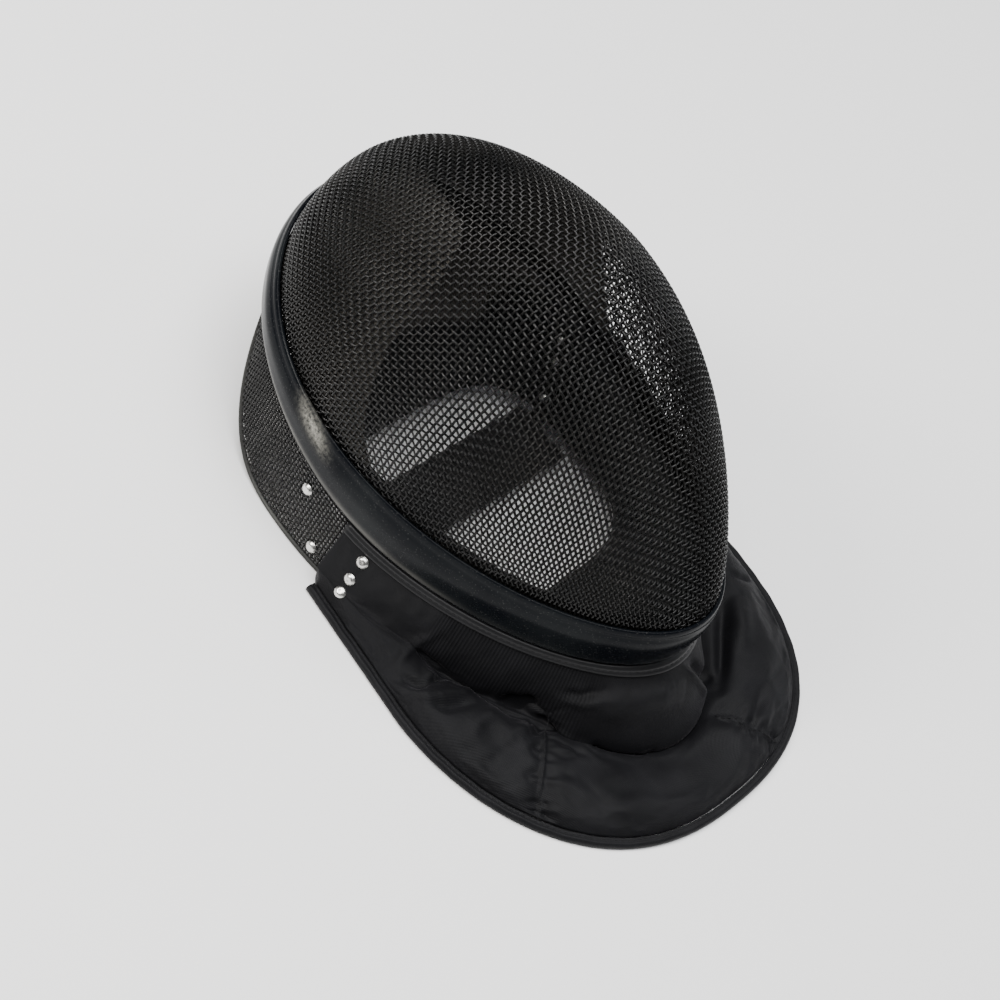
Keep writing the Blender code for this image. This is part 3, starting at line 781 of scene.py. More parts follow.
def side_weave():
    places = np.linspace(SIDE_FIRST, SIDE_LAST, 181)
    knee = np.array([side_knee(place) for place in places])
    rim = np.array([side_rim(place) for place in places])
    outward = np.array([side_outward(place) for place in places])
    run = running_length(knee)
    reach = np.linalg.norm(rim - knee, axis=1)

    def spot(along, down):
        """The point that far along the trim and down the panel, and its outward way."""
        parts = [np.stack([np.interp(along, run, row[:, axis]) for axis in range(3)], axis=-1)
                 for row in (knee, rim, outward)]
        way = (parts[1] - parts[0]) / np.linalg.norm(parts[1] - parts[0], axis=-1,
                                                     keepdims=True)
        lower = parts[0] + way * np.maximum(down, 0)[..., None]
        lower[..., 2] -= np.minimum(down, 0)
        return lower - parts[2] * SIDE_DEPTH, parts[2]

    bend = SIDE_PITCH * WIRE_SHOULDER
    columns = np.arange(1, int(run[-1] / SIDE_PITCH))
    rows = np.arange(-int(SIDE_TUCK / SIDE_PITCH), int(reach.max() / SIDE_PITCH) + 1)
    upright, level = [], []
    for column in columns:
        along = column * SIDE_PITCH
        seen = rows[rows * SIDE_PITCH < np.interp(along, run, reach) - 2 * bend]
        down = (seen[:, None] * SIDE_PITCH + np.array([-bend, bend])).ravel()
        down = np.append(down, np.interp(along, run, reach) + SIDE_BOUND)
        lifts = np.append(np.repeat(1.0 - 2.0 * ((seen + column) % 2), 2), 0.0)
        points, out = spot(np.full(len(down), along), down)
        if len(points) > 3:
            upright.append((points, out, lifts))
    for row in rows:
        seen = columns[np.interp(columns * SIDE_PITCH, run, reach) > row * SIDE_PITCH + bend]
        along = (seen[:, None] * SIDE_PITCH + np.array([-bend, bend])).ravel()
        lifts = np.repeat(-1.0 + 2.0 * ((seen + row) % 2), 2)
        points, out = spot(along, np.full(len(along), row * SIDE_PITCH))
        if len(points) > 3:
            level.append((points, out, lifts))
    return upright + level


def mirrored(points, hand):
    return np.asarray(points) * np.array([hand, 1, 1])


side_chains = side_weave()
hands = (("right", 1.0), ("left", -1.0))
for word, hand in hands:
    chains = [(mirrored(points, hand), mirrored(out, hand), lifts)
              for points, out, lifts in side_chains]
    panel = run_maker("side_weave_" + word, thread_object("side_" + word, chains), tube_maker,
                      {"Wire radius": SIDE_RADIUS, "Crimp": SIDE_CRIMP,
                       "Sides": WIRE_SIDES, "Finish": enamel})
    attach(panel, "root")
    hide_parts("side_mesh_" + word)


# Rim edging. A round rubber piping is bound over the cut wires along each side mesh's rear
# rim, and stands on the table at the ear.
RIM_RADIUS = RIM_WIRE / 2 - GAP / 2


def rim_sections():
    sections = []
    for place in np.linspace(SIDE_FIRST, SIDE_LAST, 91):
        before, after = max(place - 0.5, SIDE_FIRST), min(place + 0.5, SIDE_LAST)
        run = side_rim(after) - side_rim(before)
        run /= np.linalg.norm(run)
        rise = side_point(place, 0.5) - side_point(place, 0.0)
        up = rise - run * (rise @ run)
        up /= np.linalg.norm(up)
        out = np.cross(run, up)
        middle = side_rim(place, -SIDE_DEPTH) - up * (RIM_RADIUS + 2 * GAP)
        ring = [middle + (out * math.cos(turn) + up * math.sin(turn)) * RIM_RADIUS
                for turn in np.linspace(0, 2 * math.pi, 14, endpoint=False)]
        sections.append(ring)
    return np.array(sections)


piping = trim_rubber()
for word, hand in hands:
    edging = shell("rim_piping_" + word, mirrored(rim_sections(), hand), False, piping)
    # The piping gets part of the trim's painted edge highlight, all along it.
    give_values(edging, "worn", np.full(len(edging.data.vertices), RIM_EDGE_HIGHLIGHT))
    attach(edging, "root")
    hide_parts("rim_edge_" + word)


# Bib. Padded cloth hangs from the trim: an upright collar with a ribbed face, sewn along a
# deep seam to a flared apron that lies on the table, quilted by two radial seams. Both are
# stuffed, and the satin-faced cloth puckers at its seams and folds where it was bent.
BIB_PAD = 4 * MM
BIB_TOP = 2 * MM
BIB_HALF_WIDTH = HALF_WIDTH + 25 * MM
BIB_END_WIDTH = HALF_WIDTH + 17 * MM
BIB_FRONT = HALF_LENGTH + 72 * MM
BIB_SIDE = 90 * MM
BIB_END_PLACE = 4 * MM
BIB_SWING = 7 * MM          # the front lies this far towards the wearer's left
BIB_CORNER = 2.4
BIB_STRAIGHT = 0.3
BIB_PUFF = 15 * MM
BIB_CREASE = 7 * MM
BIB_END_CREASE = 14 * MM    # height at the seam's place where the cloth hangs smooth
CREASE_SIDE = 16.5 * MM
CREASE_FRONT = 33 * MM
ROLL_REACH = 6.5 * MM       # the collar's padded roll over the seam, under the chin
EDGE_WIDTH = 5 * MM
EDGE_HEIGHT = 4.6 * MM
UPPER_TIER = ((0.0, 1.0), (0.30, 0.80), (0.62, 0.50), (0.87, 0.24))
UPPER_SMOOTH = ((0.0, 1.0), (0.30, 0.84), (0.62, 0.62), (0.87, 0.42))
LOWER_TIER = ((0.16, 0.80), (0.45, 1.0), (0.75, 0.86), (0.93, 0.52))
FACE_ROWS = 73              # points of a section from the trim over the seam to the edge
SEAM_ROW = 32               # the one at the seam
BIB_TURN_EASE = 1.3         # spacing of the sections round the front corners
CREASE_START = 0.55         # share of each half from which the collar leans out
SMOOTH_SHARE = (0.275, 0.205)  # share of each half that hangs smooth, at trim and edge
SMOOTH_END = 0.10           # share over which the seam then deepens
ROLL_SWELL = (0.0, 0.12, 0.75, 1.0)  # share of the roll at each row of the collar
ROLL_TURNS = (228, 242, 284, 293)  # degrees round the trim where the roll swells and ends
KNIT_TURNS = (203, 207, 236, 248)  # and where the collar's ribbed face does
HELD = 0.95                 # how firmly a seam holds the cloth
FILL_STEPS = 20             # frames in which the cloth fills
QUILT_DIP, QUILT_WIDTH = 2.8 * MM, 6 * MM
THREAD_DIP, THREAD_WIDTH = 0.9 * MM, 1.1 * MM
PUCKER_DEPTH, PUCKER_WIDTH, PUCKER_INNER = 0.55 * MM, 7 * MM, 2 * MM
FOLD_LIMIT = 6 * MM
RADIAL_SEAMS = (((547, 717), (546, 745), (544, 780), (537, 828)),
                ((718, 713), (737, 718), (760, 730), (787, 748)))
# Folds as the photograph's places, then half width and height in millimetres
FOLDS = (
    (((447, 627), (420, 642), (398, 660), (388, 676)), 2.6, 1.8),
    (((416, 648), (430, 660), (446, 671)), 1.6, -1.6),
    (((393, 675), (418, 684), (446, 675)), 3.0, -3.6),
    (((402, 688), (430, 696), (478, 690)), 3.6, 2.2),
    (((420, 700), (447, 707), (480, 700)), 2.8, -2.0),
    (((492, 699), (520, 706), (545, 703)), 5.5, -5.5),
    (((547, 717), (525, 707)), 1.8, -1.6),
    (((545, 719), (520, 722)), 1.8, -1.5),
    (((545, 722), (528, 738)), 2.4, -2.4),
    (((544, 742), (528, 752)), 2.4, -2.0),
    (((541, 770), (522, 778)), 2.6, -1.5),
    (((550, 715), (567, 706)), 1.8, -1.5),
    (((552, 727), (569, 737), (595, 749)), 3.0, 3.0),
    (((551, 737), (572, 745), (590, 757)), 2.4, -1.9),
    (((549, 752), (567, 756), (587, 752)), 2.4, -1.6),
    (((545, 775), (560, 771), (582, 778)), 3.0, -1.2),
    (((560, 691), (580, 695), (605, 689)), 2.2, -2.4),
    (((556, 698), (585, 703), (610, 698)), 2.6, 1.8),
    (((565, 701), (625, 704), (690, 688)), 9.0, 4.5),
    (((679, 660), (692, 676), (706, 693)), 2.4, 2.6),
    (((686, 655), (702, 672), (716, 690)), 3.6, -5.0),
    (((723, 603), (722, 640), (720, 690)), 3.4, -5.0),
    (((738, 590), (742, 625), (738, 660)), 6.0, 2.6),
    (((762, 690), (757, 712), (752, 733)), 2.6, -2.0),
    (((771, 690), (769, 712), (764, 732)), 3.0, 1.3),
    (((742, 718), (750, 738)), 2.2, 1.6),
    (((580, 803), (607, 783), (635, 766)), 5.0, 1.3),
    (((607, 822), (632, 803), (657, 786)), 5.0, 1.1),
    (((467, 738), (480, 722), (498, 708)), 4.0, 1.8),
    (((500, 752), (512, 735), (528, 722)), 3.6, 1.6),
    (((489, 765), (505, 748), (520, 738)), 3.0, -1.0),
    (((728, 572), (741, 577), (754, 581)), 2.2, -1.8),
    (((352, 600), (372, 612), (398, 618)), 5.0, -1.3),
    (((340, 612), (362, 632), (380, 655)), 6.0, 1.2),
)


def signed_power(value, power):
    return math.copysign(abs(value) ** power, value)


def bib_share(angle):
    """0 at either end of the bib and 1 under the chin."""
    return 1 - abs(angle - 1.5 * math.pi) / (0.5 * math.pi)


def bib_edge_point(angle):
    """The bib's outer edge on the table."""
    share = bib_share(angle)
    side = 1 if angle > 1.5 * math.pi else -1
    if share < BIB_STRAIGHT:
        along = share / BIB_STRAIGHT
        flat = (side * mix(BIB_END_WIDTH, BIB_HALF_WIDTH, along),
                mix(-BIB_END_PLACE, -BIB_SIDE, along))
    else:
        turn = 0.5 * math.pi * ((share - BIB_STRAIGHT) / (1 - BIB_STRAIGHT)) ** BIB_TURN_EASE
        forward = signed_power(math.sin(turn), 2 / BIB_CORNER)
        sideways = side * BIB_HALF_WIDTH * signed_power(math.cos(turn), 2 / BIB_CORNER)
        flat = (sideways + BIB_SWING * ease(forward, 0.0, 1.0),
                -BIB_SIDE - (BIB_FRONT - BIB_SIDE) * forward)
    return np.array([flat[0], flat[1] + MIDDLE, 0.0])


def bib_seam(angle, out, height=0.0):
    crease = mix(CREASE_SIDE, CREASE_FRONT, ease(bib_share(angle), CREASE_START, 1.0))
    point = trim_point(angle, crease + out, trim_band(angle))
    point[2] = height
    return point


def bib_upper(angle, row, out, tier=UPPER_TIER):
    """On the collar, by its row in the table, which may lie between two rows."""
    place = min(int(row), len(tier) - 2)
    way, height = mix(np.array(tier[place]), np.array(tier[place + 1]), row - place)
    top = trim_point(angle, BIB_TOP + GAP + out, trim_band(angle) + GAP)
    point = mix(top, bib_seam(angle, out), way)
    point[2] = top[2] * height
    return point


def folded_share(angle, down=0.5):
    """0 where the cloth hangs smooth at the bib's ends, 1 where the seam is deep.

    Between them a fold runs aslant, from the trim, down 0, to the edge, down 1.
    """
    start = mix(*SMOOTH_SHARE, down)
    return ease(bib_share(angle), start, start + SMOOTH_END)


def swells(angle, turns):
    """1 between the inner two of four turns in degrees, 0 outside the outer two."""
    turn = math.degrees(angle)
    return ease(turn, *turns[:2]) * (1 - ease(turn, *turns[2:]))


def bib_section(angle):
    """Outer face from the trim over the seam to the edge, then the underside and the back."""
    spread = ease(bib_share(angle), 0.0, 0.35)
    folded = folded_share(angle)
    roll = swells(angle, ROLL_TURNS)
    seam = bib_seam(angle, 0.0, mix(BIB_END_CREASE, BIB_CREASE - 2 * MM, folded))
    edge = bib_edge_point(angle)
    edge[2] = EDGE_HEIGHT
    face = []
    for row, swell in enumerate(ROLL_SWELL):
        out = roll * swell * ROLL_REACH
        point = mix(bib_upper(angle, row, out, UPPER_SMOOTH), bib_upper(angle, row, out),
                    folded_share(angle, row * 0.12))
        point[2] -= roll * swell * 2 * MM
        face.append(point)
    face.append(seam)
    for way, height in LOWER_TIER:
        point = mix(seam, edge, way)
        smooth = mix(seam[2], EDGE_HEIGHT, way ** 1.6)
        point[2] = mix(smooth, BIB_PUFF * height, spread * folded_share(angle, 0.5 + way / 2))
        face.append(point)
    face.append(edge)
    foot = bib_seam(angle, -BIB_PAD + GAP)
    back = [mix(edge, foot, share) for share in np.linspace(0, 1, 7)]
    for point in back:
        point[2] = 0.0
    back += [bib_upper(angle, row, -(BIB_TOP if row == 0 else BIB_PAD))
             for row in (3, 2, 1, 0)]
    return np.concatenate([through(face, FACE_ROWS), back])


def fill_cloth(piece, loose, pressure, slack, most):
    """Cloth filled from inside between its sewn lines, no point moving further than most."""
    before = mesh_points(piece)
    group = piece.vertex_groups.new(name="sewn")
    held = np.round(1 - loose, 2)
    for weight in np.unique(held):
        if weight > 0:
            group.add(np.nonzero(held == weight)[0].tolist(), float(weight), "REPLACE")
    filling = piece.modifiers.new("filling", "CLOTH")
    cloth = filling.settings
    cloth.quality = 5
    cloth.mass = 0.25
    cloth.tension_stiffness = cloth.compression_stiffness = 18
    cloth.shear_stiffness = 6
    cloth.bending_stiffness = 0.15
    cloth.use_pressure = True
    cloth.uniform_pressure_force = pressure
    cloth.shrink_min = -slack
    cloth.vertex_group_mass = "sewn"
    cloth.effector_weights.gravity = 0
    filling.collision_settings.use_collision = False
    filling.point_cache.frame_start = 1
    filling.point_cache.frame_end = FILL_STEPS
    for step in range(FILL_STEPS):
        bpy.context.scene.frame_set(step + 1)
    shown = piece.evaluated_get(bpy.context.evaluated_depsgraph_get())
    moved = read_rows(shown.data.vertices, "co") - before
    length = np.maximum(np.linalg.norm(moved, axis=1, keepdims=True), 1e-9)
    piece.modifiers.remove(filling)
    piece.vertex_groups.remove(group)
    bpy.context.scene.frame_set(1)
    set_points(piece, before + moved / length * most * np.tanh(length / most))


def finer(piece):
    """The piece with one more subdivision, as plain mesh."""
    step = piece.modifiers.new("finer", "SUBSURF")
    step.levels = step.render_levels = 1
    return as_plain_mesh(piece, piece.name)


def bib_satin():
    """Tight black satin with a ribbed knit on the collar, a soft sheen and lint."""
    made = Finish("bib_satin", {"Sheen Weight": 0.04, "Sheen Roughness": 0.35,
                                "Sheen Tint": (0.80, 0.78, 0.85), "Specular IOR Level": 0.09})
    along, across = made.cloth_place()
    knit = made.painted("knit")
    twill = made.wave(along + across, 0.9 * MM) * 0.5 + made.wave(along - across, 1.3 * MM) * 0.2
    ribs = made.wave(along, 1.9 * MM) * 1.3 + made.wave(across, 1.2 * MM) * 0.4
    weave = twill * (1 - knit) + ribs * knit
    cloud = made.noise(34.0, 3.0)
    lint = made.noise(1500.0, 2.0)
    tone = made.between(cloud * 0.7 + weave * 0.14, 0, 1, 0.2, 0.62)
    made.set("Base Color", made.blend(tone, (0.0032, 0.0032, 0.0038), (0.0088, 0.0088, 0.0100)))
    made.set("Roughness", made.between(lint * 0.5 + cloud * 0.5, 0.44, 0.60, 0.3, 0.7)
             + knit * 0.18)
    made.bump(weave + lint * 0.6, 0.16 * MM, 0.55)
    return made.material


stations = np.linspace(math.pi, 2 * math.pi, 221)
bib_grid = np.array([bib_section(angle) for angle in stations])
rows_all = bib_grid.shape[1]
crease_run = running_length(bib_grid[:, SEAM_ROW])
row_run = running_length(bib_grid[len(stations) // 4])
bib_flat = np.stack(np.meshgrid(crease_run, row_run, indexing="ij"), axis=-1)
bib = shell("bib_padding", bib_grid, False, bib_satin(), bib_flat)
row_of = np.tile(np.arange(rows_all), len(stations))
angle_of = np.repeat(stations, rows_all)
folded_of = np.array([folded_share(angle) for angle in stations]).repeat(rows_all)
loose = np.where(row_of < FACE_ROWS, 1.0, 0.0)
loose *= np.clip((row_of - 4) / 5, 0, 1) * np.clip((FACE_ROWS - 2 - row_of) / 4, 0, 1)
loose *= np.clip(np.minimum(angle_of - math.pi, 2 * math.pi - angle_of) / 0.07, 0, 1)
loose *= 1 - HELD * folded_of * near(row_of - SEAM_ROW, 1.2)
surface = surface_of(bib)
seams = [seen_line(line, surface) for line in RADIAL_SEAMS]
for seam in seams:
    gap, along = near_line(mesh_points(bib), seam)
    loose *= 1 - HELD * near(gap, 1.6 * MM)
give_values(bib, "loose", loose)
knit = (np.clip((row_of - 1) / 3, 0, 1) * np.clip((SEAM_ROW - 6 - row_of) / 3, 0, 1)
        * np.array([swells(angle, KNIT_TURNS) for angle in stations]).repeat(rows_all))
give_values(bib, "knit", knit)
fill_cloth(bib, loose, pressure=1.1, slack=0.010, most=2.5 * MM)
bib = finer(bib)

points, normals = mesh_points(bib), read_rows(bib.data.vertex_normals, "vector")
free = read_rows(bib.data.attributes["loose"].data, "value", 1)[:, 0]
height = np.zeros(len(points))
surface = surface_of(bib)
for pixels, width, rise in FOLDS:
    line = seen_line(pixels, surface)
    if len(line) > 1:
        gap, along = near_line(points, line)
        whole = running_length(line)[-1]
        fade = np.clip(np.minimum(along, whole - along) / (0.3 * whole), 0.25, 1)
        height += rise * MM * fade * near(gap, width * MM) * free ** 0.5
seams = [seen_line(line, surface) for line in RADIAL_SEAMS]
for turn, seam in enumerate(seams):
    gap, along = near_line(points, seam)
    height -= QUILT_DIP * near(gap, QUILT_WIDTH) * np.clip(free * 1.5, 0, 1)
    height -= THREAD_DIP * near(gap, THREAD_WIDTH)
    pucker = np.sin(along / (1.25 * MM) + turn) + 0.6 * np.sin(along / (0.8 * MM) + 2 * turn)
    height += PUCKER_DEPTH * pucker * near(gap, PUCKER_WIDTH) * (1 - near(gap, PUCKER_INNER))
points += normals * np.clip(height, -FOLD_LIMIT, FOLD_LIMIT)[:, None]
points[:, 2] = np.maximum(points[:, 2], 0.0)
set_points(bib, points)
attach(bib, "root")
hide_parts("bib")


# Binding. A black vinyl band is folded over the bib's upper edge and sewn through, just
# under the trim, from one end of the bib round to the other.
BINDING_HEIGHT = 5 * MM
BINDING_WALL = 2.2 * MM
BINDING_PROFILE = ((0.0, 0.0), (0.04, 0.75), (0.5, 1.0), (0.92, 0.9), (1.0, 0.0))
BINDING_GROOVE = 0.45 * MM
BINDING_SEAM = 0.52         # share of the band's height where its seam runs
STITCH_PITCH = 3.4 * MM
STITCH_LENGTH = 2.5 * MM
THREAD_RADIUS = 0.26 * MM


def binding_vinyl():
    """Grained black vinyl, half glossy."""
    made = Finish("binding_vinyl", {"Coat Weight": 0.05, "Coat Roughness": 0.25,
                                    "Specular IOR Level": 0.20})
    cloud = made.noise(40.0, 3.0)
    made.set("Base Color", made.blend(cloud, (0.005, 0.005, 0.0055), (0.011, 0.011, 0.012)))
    made.set("Roughness", made.between(cloud, 0.32, 0.5))
    made.bump(made.noise(1800.0, 2.0), 0.12 * MM, 0.5)
    return made.material


def thread_cotton():
    """Spun black thread."""
    made = Finish("sewing_thread", {"Sheen Weight": 0.04, "Specular IOR Level": 0.12})
    twist = made.noise(2500.0, 1.0)
    made.set("Base Color", made.blend(twist, (0.0030, 0.0030, 0.0034), (0.0085, 0.0085, 0.0095)))
    made.set("Roughness", made.between(twist, 0.5, 0.75))
    return made.material


def stitch_maker():
    """A short bead of thread at every pitch along lines, lying on the cloth."""
    tree, given = new_maker("stitch_maker", [
        ("Stitch pitch", "Float"), ("Stitch length", "Float"), ("Thread radius", "Float"),
        ("Finish", "Material")])
    pitch, length, radius, finish = [given.other(i) for i in range(1, 5)]
    outward = tree.named("outward")
    line = tree.node("GeometryNodeMeshToCurve", values={"Mesh": given})
    spots = tree.node("GeometryNodeCurveToPoints", {"mode": "LENGTH"},
                      {"Curve": line, "Length": pitch})
    turn = tree.node("FunctionNodeAxesToRotation", {"primary_axis": "X",
                                                    "secondary_axis": "Z"},
                     {"Primary Axis": spots.other(1), "Secondary Axis": outward})
    size = tree.node("ShaderNodeCombineXYZ", values={"X": length * 0.5, "Y": radius * 1.2,
                                                     "Z": radius})
    bead = tree.node("GeometryNodeMeshUVSphere", values={"Segments": 8, "Rings": 5,
                                                         "Radius": 1.0})
    bead = tree.node("GeometryNodeTransform", values={"Geometry": bead, "Scale": size})
    beads = tree.node("GeometryNodeInstanceOnPoints",
                      values={"Points": spots, "Instance": bead, "Rotation": turn})
    beads = tree.node("GeometryNodeSetShadeSmooth", values={"Geometry": beads})
    return end_maker(tree, beads, finish)


def sew(name, chains):
    """Stitches along lines given as points and outward directions."""
    chains = [(points, out, np.zeros(len(points))) for points, out in chains]
    row = run_maker(name, thread_object(name, chains), stitches,
                    {"Stitch pitch": STITCH_PITCH, "Stitch length": STITCH_LENGTH,
                     "Thread radius": THREAD_RADIUS, "Finish": thread})
    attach(row, "root")


def line_outward(points, inside):
    """Square to a line and to the table's up, leaning up and away from a point inside."""
    run = np.gradient(points, axis=0)
    out = points - inside
    out[:, 2] = np.maximum(out[:, 2], 0) + 0.01
    out -= run * ((out * run).sum(axis=1) / (run * run).sum(axis=1))[:, None]
    return out / np.linalg.norm(out, axis=1, keepdims=True)


vinyl = binding_vinyl()
thread = thread_cotton()
stitches = stitch_maker()
binding_sections, sewn_line = [], []
for angle in np.linspace(math.pi, 2 * math.pi, 181):
    drop = (UPPER_TIER[0][1] - UPPER_TIER[1][1]) * bib_upper(angle, 0, 0.0)[2]
    foot = min(BINDING_HEIGHT / drop, 1.0)
    outer = through([(share, BINDING_WALL * out + GAP) for share, out in BINDING_PROFILE], 17)
    outer[:, 1] -= BINDING_GROOVE * near(outer[:, 0] - BINDING_SEAM, 0.07)
    ring = [bib_upper(angle, foot * share, out) for share, out in outer]
    ring.append(bib_upper(angle, foot * 0.5, GAP))
    binding_sections.append(ring)
    sewn_line.append(bib_upper(angle, foot * BINDING_SEAM, BINDING_WALL + GAP - BINDING_GROOVE))
binding = shell("bib_binding_band", binding_sections, False, vinyl)
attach(binding, "root")
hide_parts("bib_binding")
sewn_line = np.array(sewn_line)[2:-2]
sew("binding_stitches", [(sewn_line, line_outward(sewn_line, np.array([0, MIDDLE, 0.03])))])


# Bound edge. A satin tape wraps the bib's outer edge over a thin cord, and one row of
# stitches runs all round it, a few millimetres in.
EDGE_RING = ((0.0, 0.0), (0.82, 0.0), (1.0, 0.30), (0.92, 0.72), (0.62, 0.98), (0.36, 0.86),
             (0.12, 0.92), (0.0, 0.84))
EDGE_STITCH = (0.24, 0.885)  # share of the tape's width and height where the row runs


def edge_tape():
    """Black satin tape, a little duller than the bib."""
    made = Finish("edge_tape", {"Sheen Weight": 0.04, "Sheen Roughness": 0.4,
                                "Specular IOR Level": 0.10})
    along, across = made.cloth_place()
    twill = made.wave(along + across * 0.5, 0.9 * MM)
    cloud = made.noise(60.0, 3.0)
    made.set("Base Color", made.blend(made.between(cloud * 0.8 + twill * 0.1, 0, 1, 0.2, 0.7),
                                      (0.0036, 0.0036, 0.0042), (0.0100, 0.0100, 0.0112)))
    made.set("Roughness", made.between(cloud, 0.42, 0.6))
    made.bump(twill + cloud, 0.14 * MM, 0.5)
    return made.material


edge_sections, edge_line = [], []
for number, angle in enumerate(np.linspace(math.pi, 2 * math.pi, 241)):
    middle = bib_edge_point(angle)
    run = bib_edge_point(min(angle + 0.01, 2 * math.pi)) - bib_edge_point(
        max(angle - 0.01, math.pi))
    run /= np.linalg.norm(run)
    out = np.array([run[1], -run[0], 0.0])
    uneven = 1 + 0.05 * math.sin(number * 0.9) + 0.03 * math.sin(number * 0.37)
    ring = []
    for share, level in [EDGE_RING[0], *through(EDGE_RING[1:], 19), EDGE_STITCH]:
        spot = middle + out * (GAP + EDGE_WIDTH * min(share, 1.0))
        spot[2] = EDGE_HEIGHT * max(level, 0.0) * uneven
        ring.append(spot)
    edge_line.append(ring.pop())
    edge_sections.append(ring)
edge = shell("bib_edge_tape", edge_sections, False, edge_tape())
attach(edge, "root")
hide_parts("bib_edge")
edge_line = np.array(edge_line)[1:-1]
upward = np.tile([0.0, 0.0, 1.0], (len(edge_line), 1))
sew("edge_stitches", [(edge_line, upward)])


# Bib seams. The two radial seams that quilt the apron are sewn through with the same
# cotton thread, which lies sunk in them.
def on_bib(line):
    """A line on the finished bib with its outward directions."""
    surface = surface_of(bib)
    found = [surface.find_nearest(Vector(point)) for point in line]
    return np.array([hit[0] for hit in found]), np.array([hit[1] for hit in found])


sew("seam_stitches", [on_bib(seam) for seam in seams])


# Rivets. Round steel heads hold the side meshes' frame, two at each ear, and three more
# clamp each end of the bib to it.
RIVET_RADIUS = 3.4 * MM
RIVET_DOME = 1.7 * MM
SIDE_RIVETS = ((0.50, 0.70), (0.70, 0.16))
BIB_RIVETS = (1.12, 2.0, 2.78)  # rows of the collar
BIB_END_TURNS = (math.pi * (1 + 1 / 40), math.pi * (1 + 2 / 40))  # the rivets lie between
HEAD_PROFILE = ((0.0, 0.86), (0.18, 0.88), (0.34, 0.95), (0.52, 0.90), (0.70, 0.72), (0.84, 0.46),
                (0.93, 0.24), (0.99, 0.14), (1.0, 0.06), (0.97, 0.0), (0.0, 0.0))


def rivet_steel():
    """Bright nickelled steel, finely scratched and dulled."""
    made = Finish("rivet_steel", {"Metallic": 1.0})
    scratch = made.noise(1400.0, 3.0, roughness=0.7)
    cloud = made.noise(350.0, 2.0)
    made.set("Base Color", made.blend(cloud, (0.52, 0.51, 0.48), (0.80, 0.79, 0.76)))
    made.set("Roughness", made.between(scratch, 0.18, 0.42, 0.3, 0.7))
    made.bump(scratch, 0.03 * MM, 0.4)
    return made.material


def lathed(name, profile, radius, sides):
    """A turned head: rings at the profile's radii and heights, closed at both poles."""
    profile = [(radius * out, RIVET_DOME * up) for out, up in profile]
    points, faces = [(0, 0, profile[0][1]), (0, 0, profile[-1][1])], []
    rings = profile[1:-1]
    for out, height in rings:
        points += [(out * math.cos(turn), out * math.sin(turn), height)
                   for turn in np.linspace(0, 2 * math.pi, sides, endpoint=False)]
    for i in range(sides):
        j = (i + 1) % sides
        faces.append((0, 2 + i, 2 + j))
        for ring in range(len(rings) - 1):
            a, b = 2 + ring * sides, 2 + (ring + 1) * sides
            faces.append((a + i, b + i, b + j, a + j))
        a = 2 + (len(rings) - 1) * sides
        faces.append((a + i, 1, a + j))
    mesh = bpy.data.meshes.new(name)
    mesh.from_pydata(points, [], faces)
    mesh.materials.append(steel)
    return add_piece(name, mesh)


def head_maker():
    """The same head on every point, its axis along the point's outward direction."""
    tree, given = new_maker("head_maker", [("Head", "Object"), ("Finish", "Material")])
    head, finish = given.other(1), given.other(2)
    outward = tree.named("outward")
    shape = tree.node("GeometryNodeObjectInfo", values={"Object": head}, out=4)
    spots = tree.node("GeometryNodeMeshToPoints", values={"Mesh": given, "Radius": 0.001})
    turn = tree.node("FunctionNodeAlignRotationToVector", {"axis": "Z"}, {"Vector": outward})
    heads = tree.node("GeometryNodeInstanceOnPoints",
                      values={"Points": spots, "Instance": shape, "Rotation": turn})
    heads = tree.node("GeometryNodeSetShadeSmooth", values={"Geometry": heads})
    return end_maker(tree, heads, finish)


def set_heads(name, spots, head, node, labels):
    """Heads at points with their outward directions, on both hands, as one piece."""
    nodes = ["%s_%s_%s" % (node, label, word) for label in labels for word, hand in hands]
    both = [(mirrored(point, hand), mirrored(out, hand)) for word, hand in hands
            for point, out in spots]
    chain = (np.array([point for point, out in both]), np.array([out for point, out in both]),
             np.zeros(len(both)))
    made = run_maker(name, thread_object(name, [chain]), heads_on,
                     {"Head": head, "Finish": steel})
    bpy.data.objects.remove(head, do_unlink=True)
    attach(made, "root")
    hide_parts(*nodes)


steel = rivet_steel()
heads_on = head_maker()
axis = np.array([0, MIDDLE, TRIM_LIFT / 2])
spots = []
for along, height in SIDE_RIVETS:
    place = round(mix(SIDE_FIRST, SIDE_LAST, along)) + 0.5
    spot = side_point(place, height)
    out = square_to(side_point(place + 0.5, height) - side_point(place - 0.5, height),
                    side_point(place, 0.9) - side_point(place, 0.1), spot, axis)
    spots.append((spot + out * GAP, out))
set_heads("side_rivet_heads", spots, lathed("head", HEAD_PROFILE, RIVET_RADIUS, 28),
          "side_rivet", ("upper", "lower"))
spots = []
surface = surface_of(bib)
first, second = BIB_END_TURNS
for row in BIB_RIVETS:
    spot = mix(bib_upper(first, row, 0.0), bib_upper(second, row, 0.0), 0.5)
    whole = int(row)
    out = square_to(bib_upper(second, row, 0.0) - bib_upper(first, row, 0.0),
                    bib_upper(first, whole, 0.0) - bib_upper(first, whole + 1, 0.0), spot, axis)
    place, normal, face, gap = surface.ray_cast(Vector(spot + out * 30 * MM), Vector(-out))
    spots.append((np.array(place), np.array(normal)))
set_heads("bib_rivet_heads", spots, lathed("head", HEAD_PROFILE, RIVET_RADIUS, 28),
          "bib_rivet", ("top", "middle", "low"))
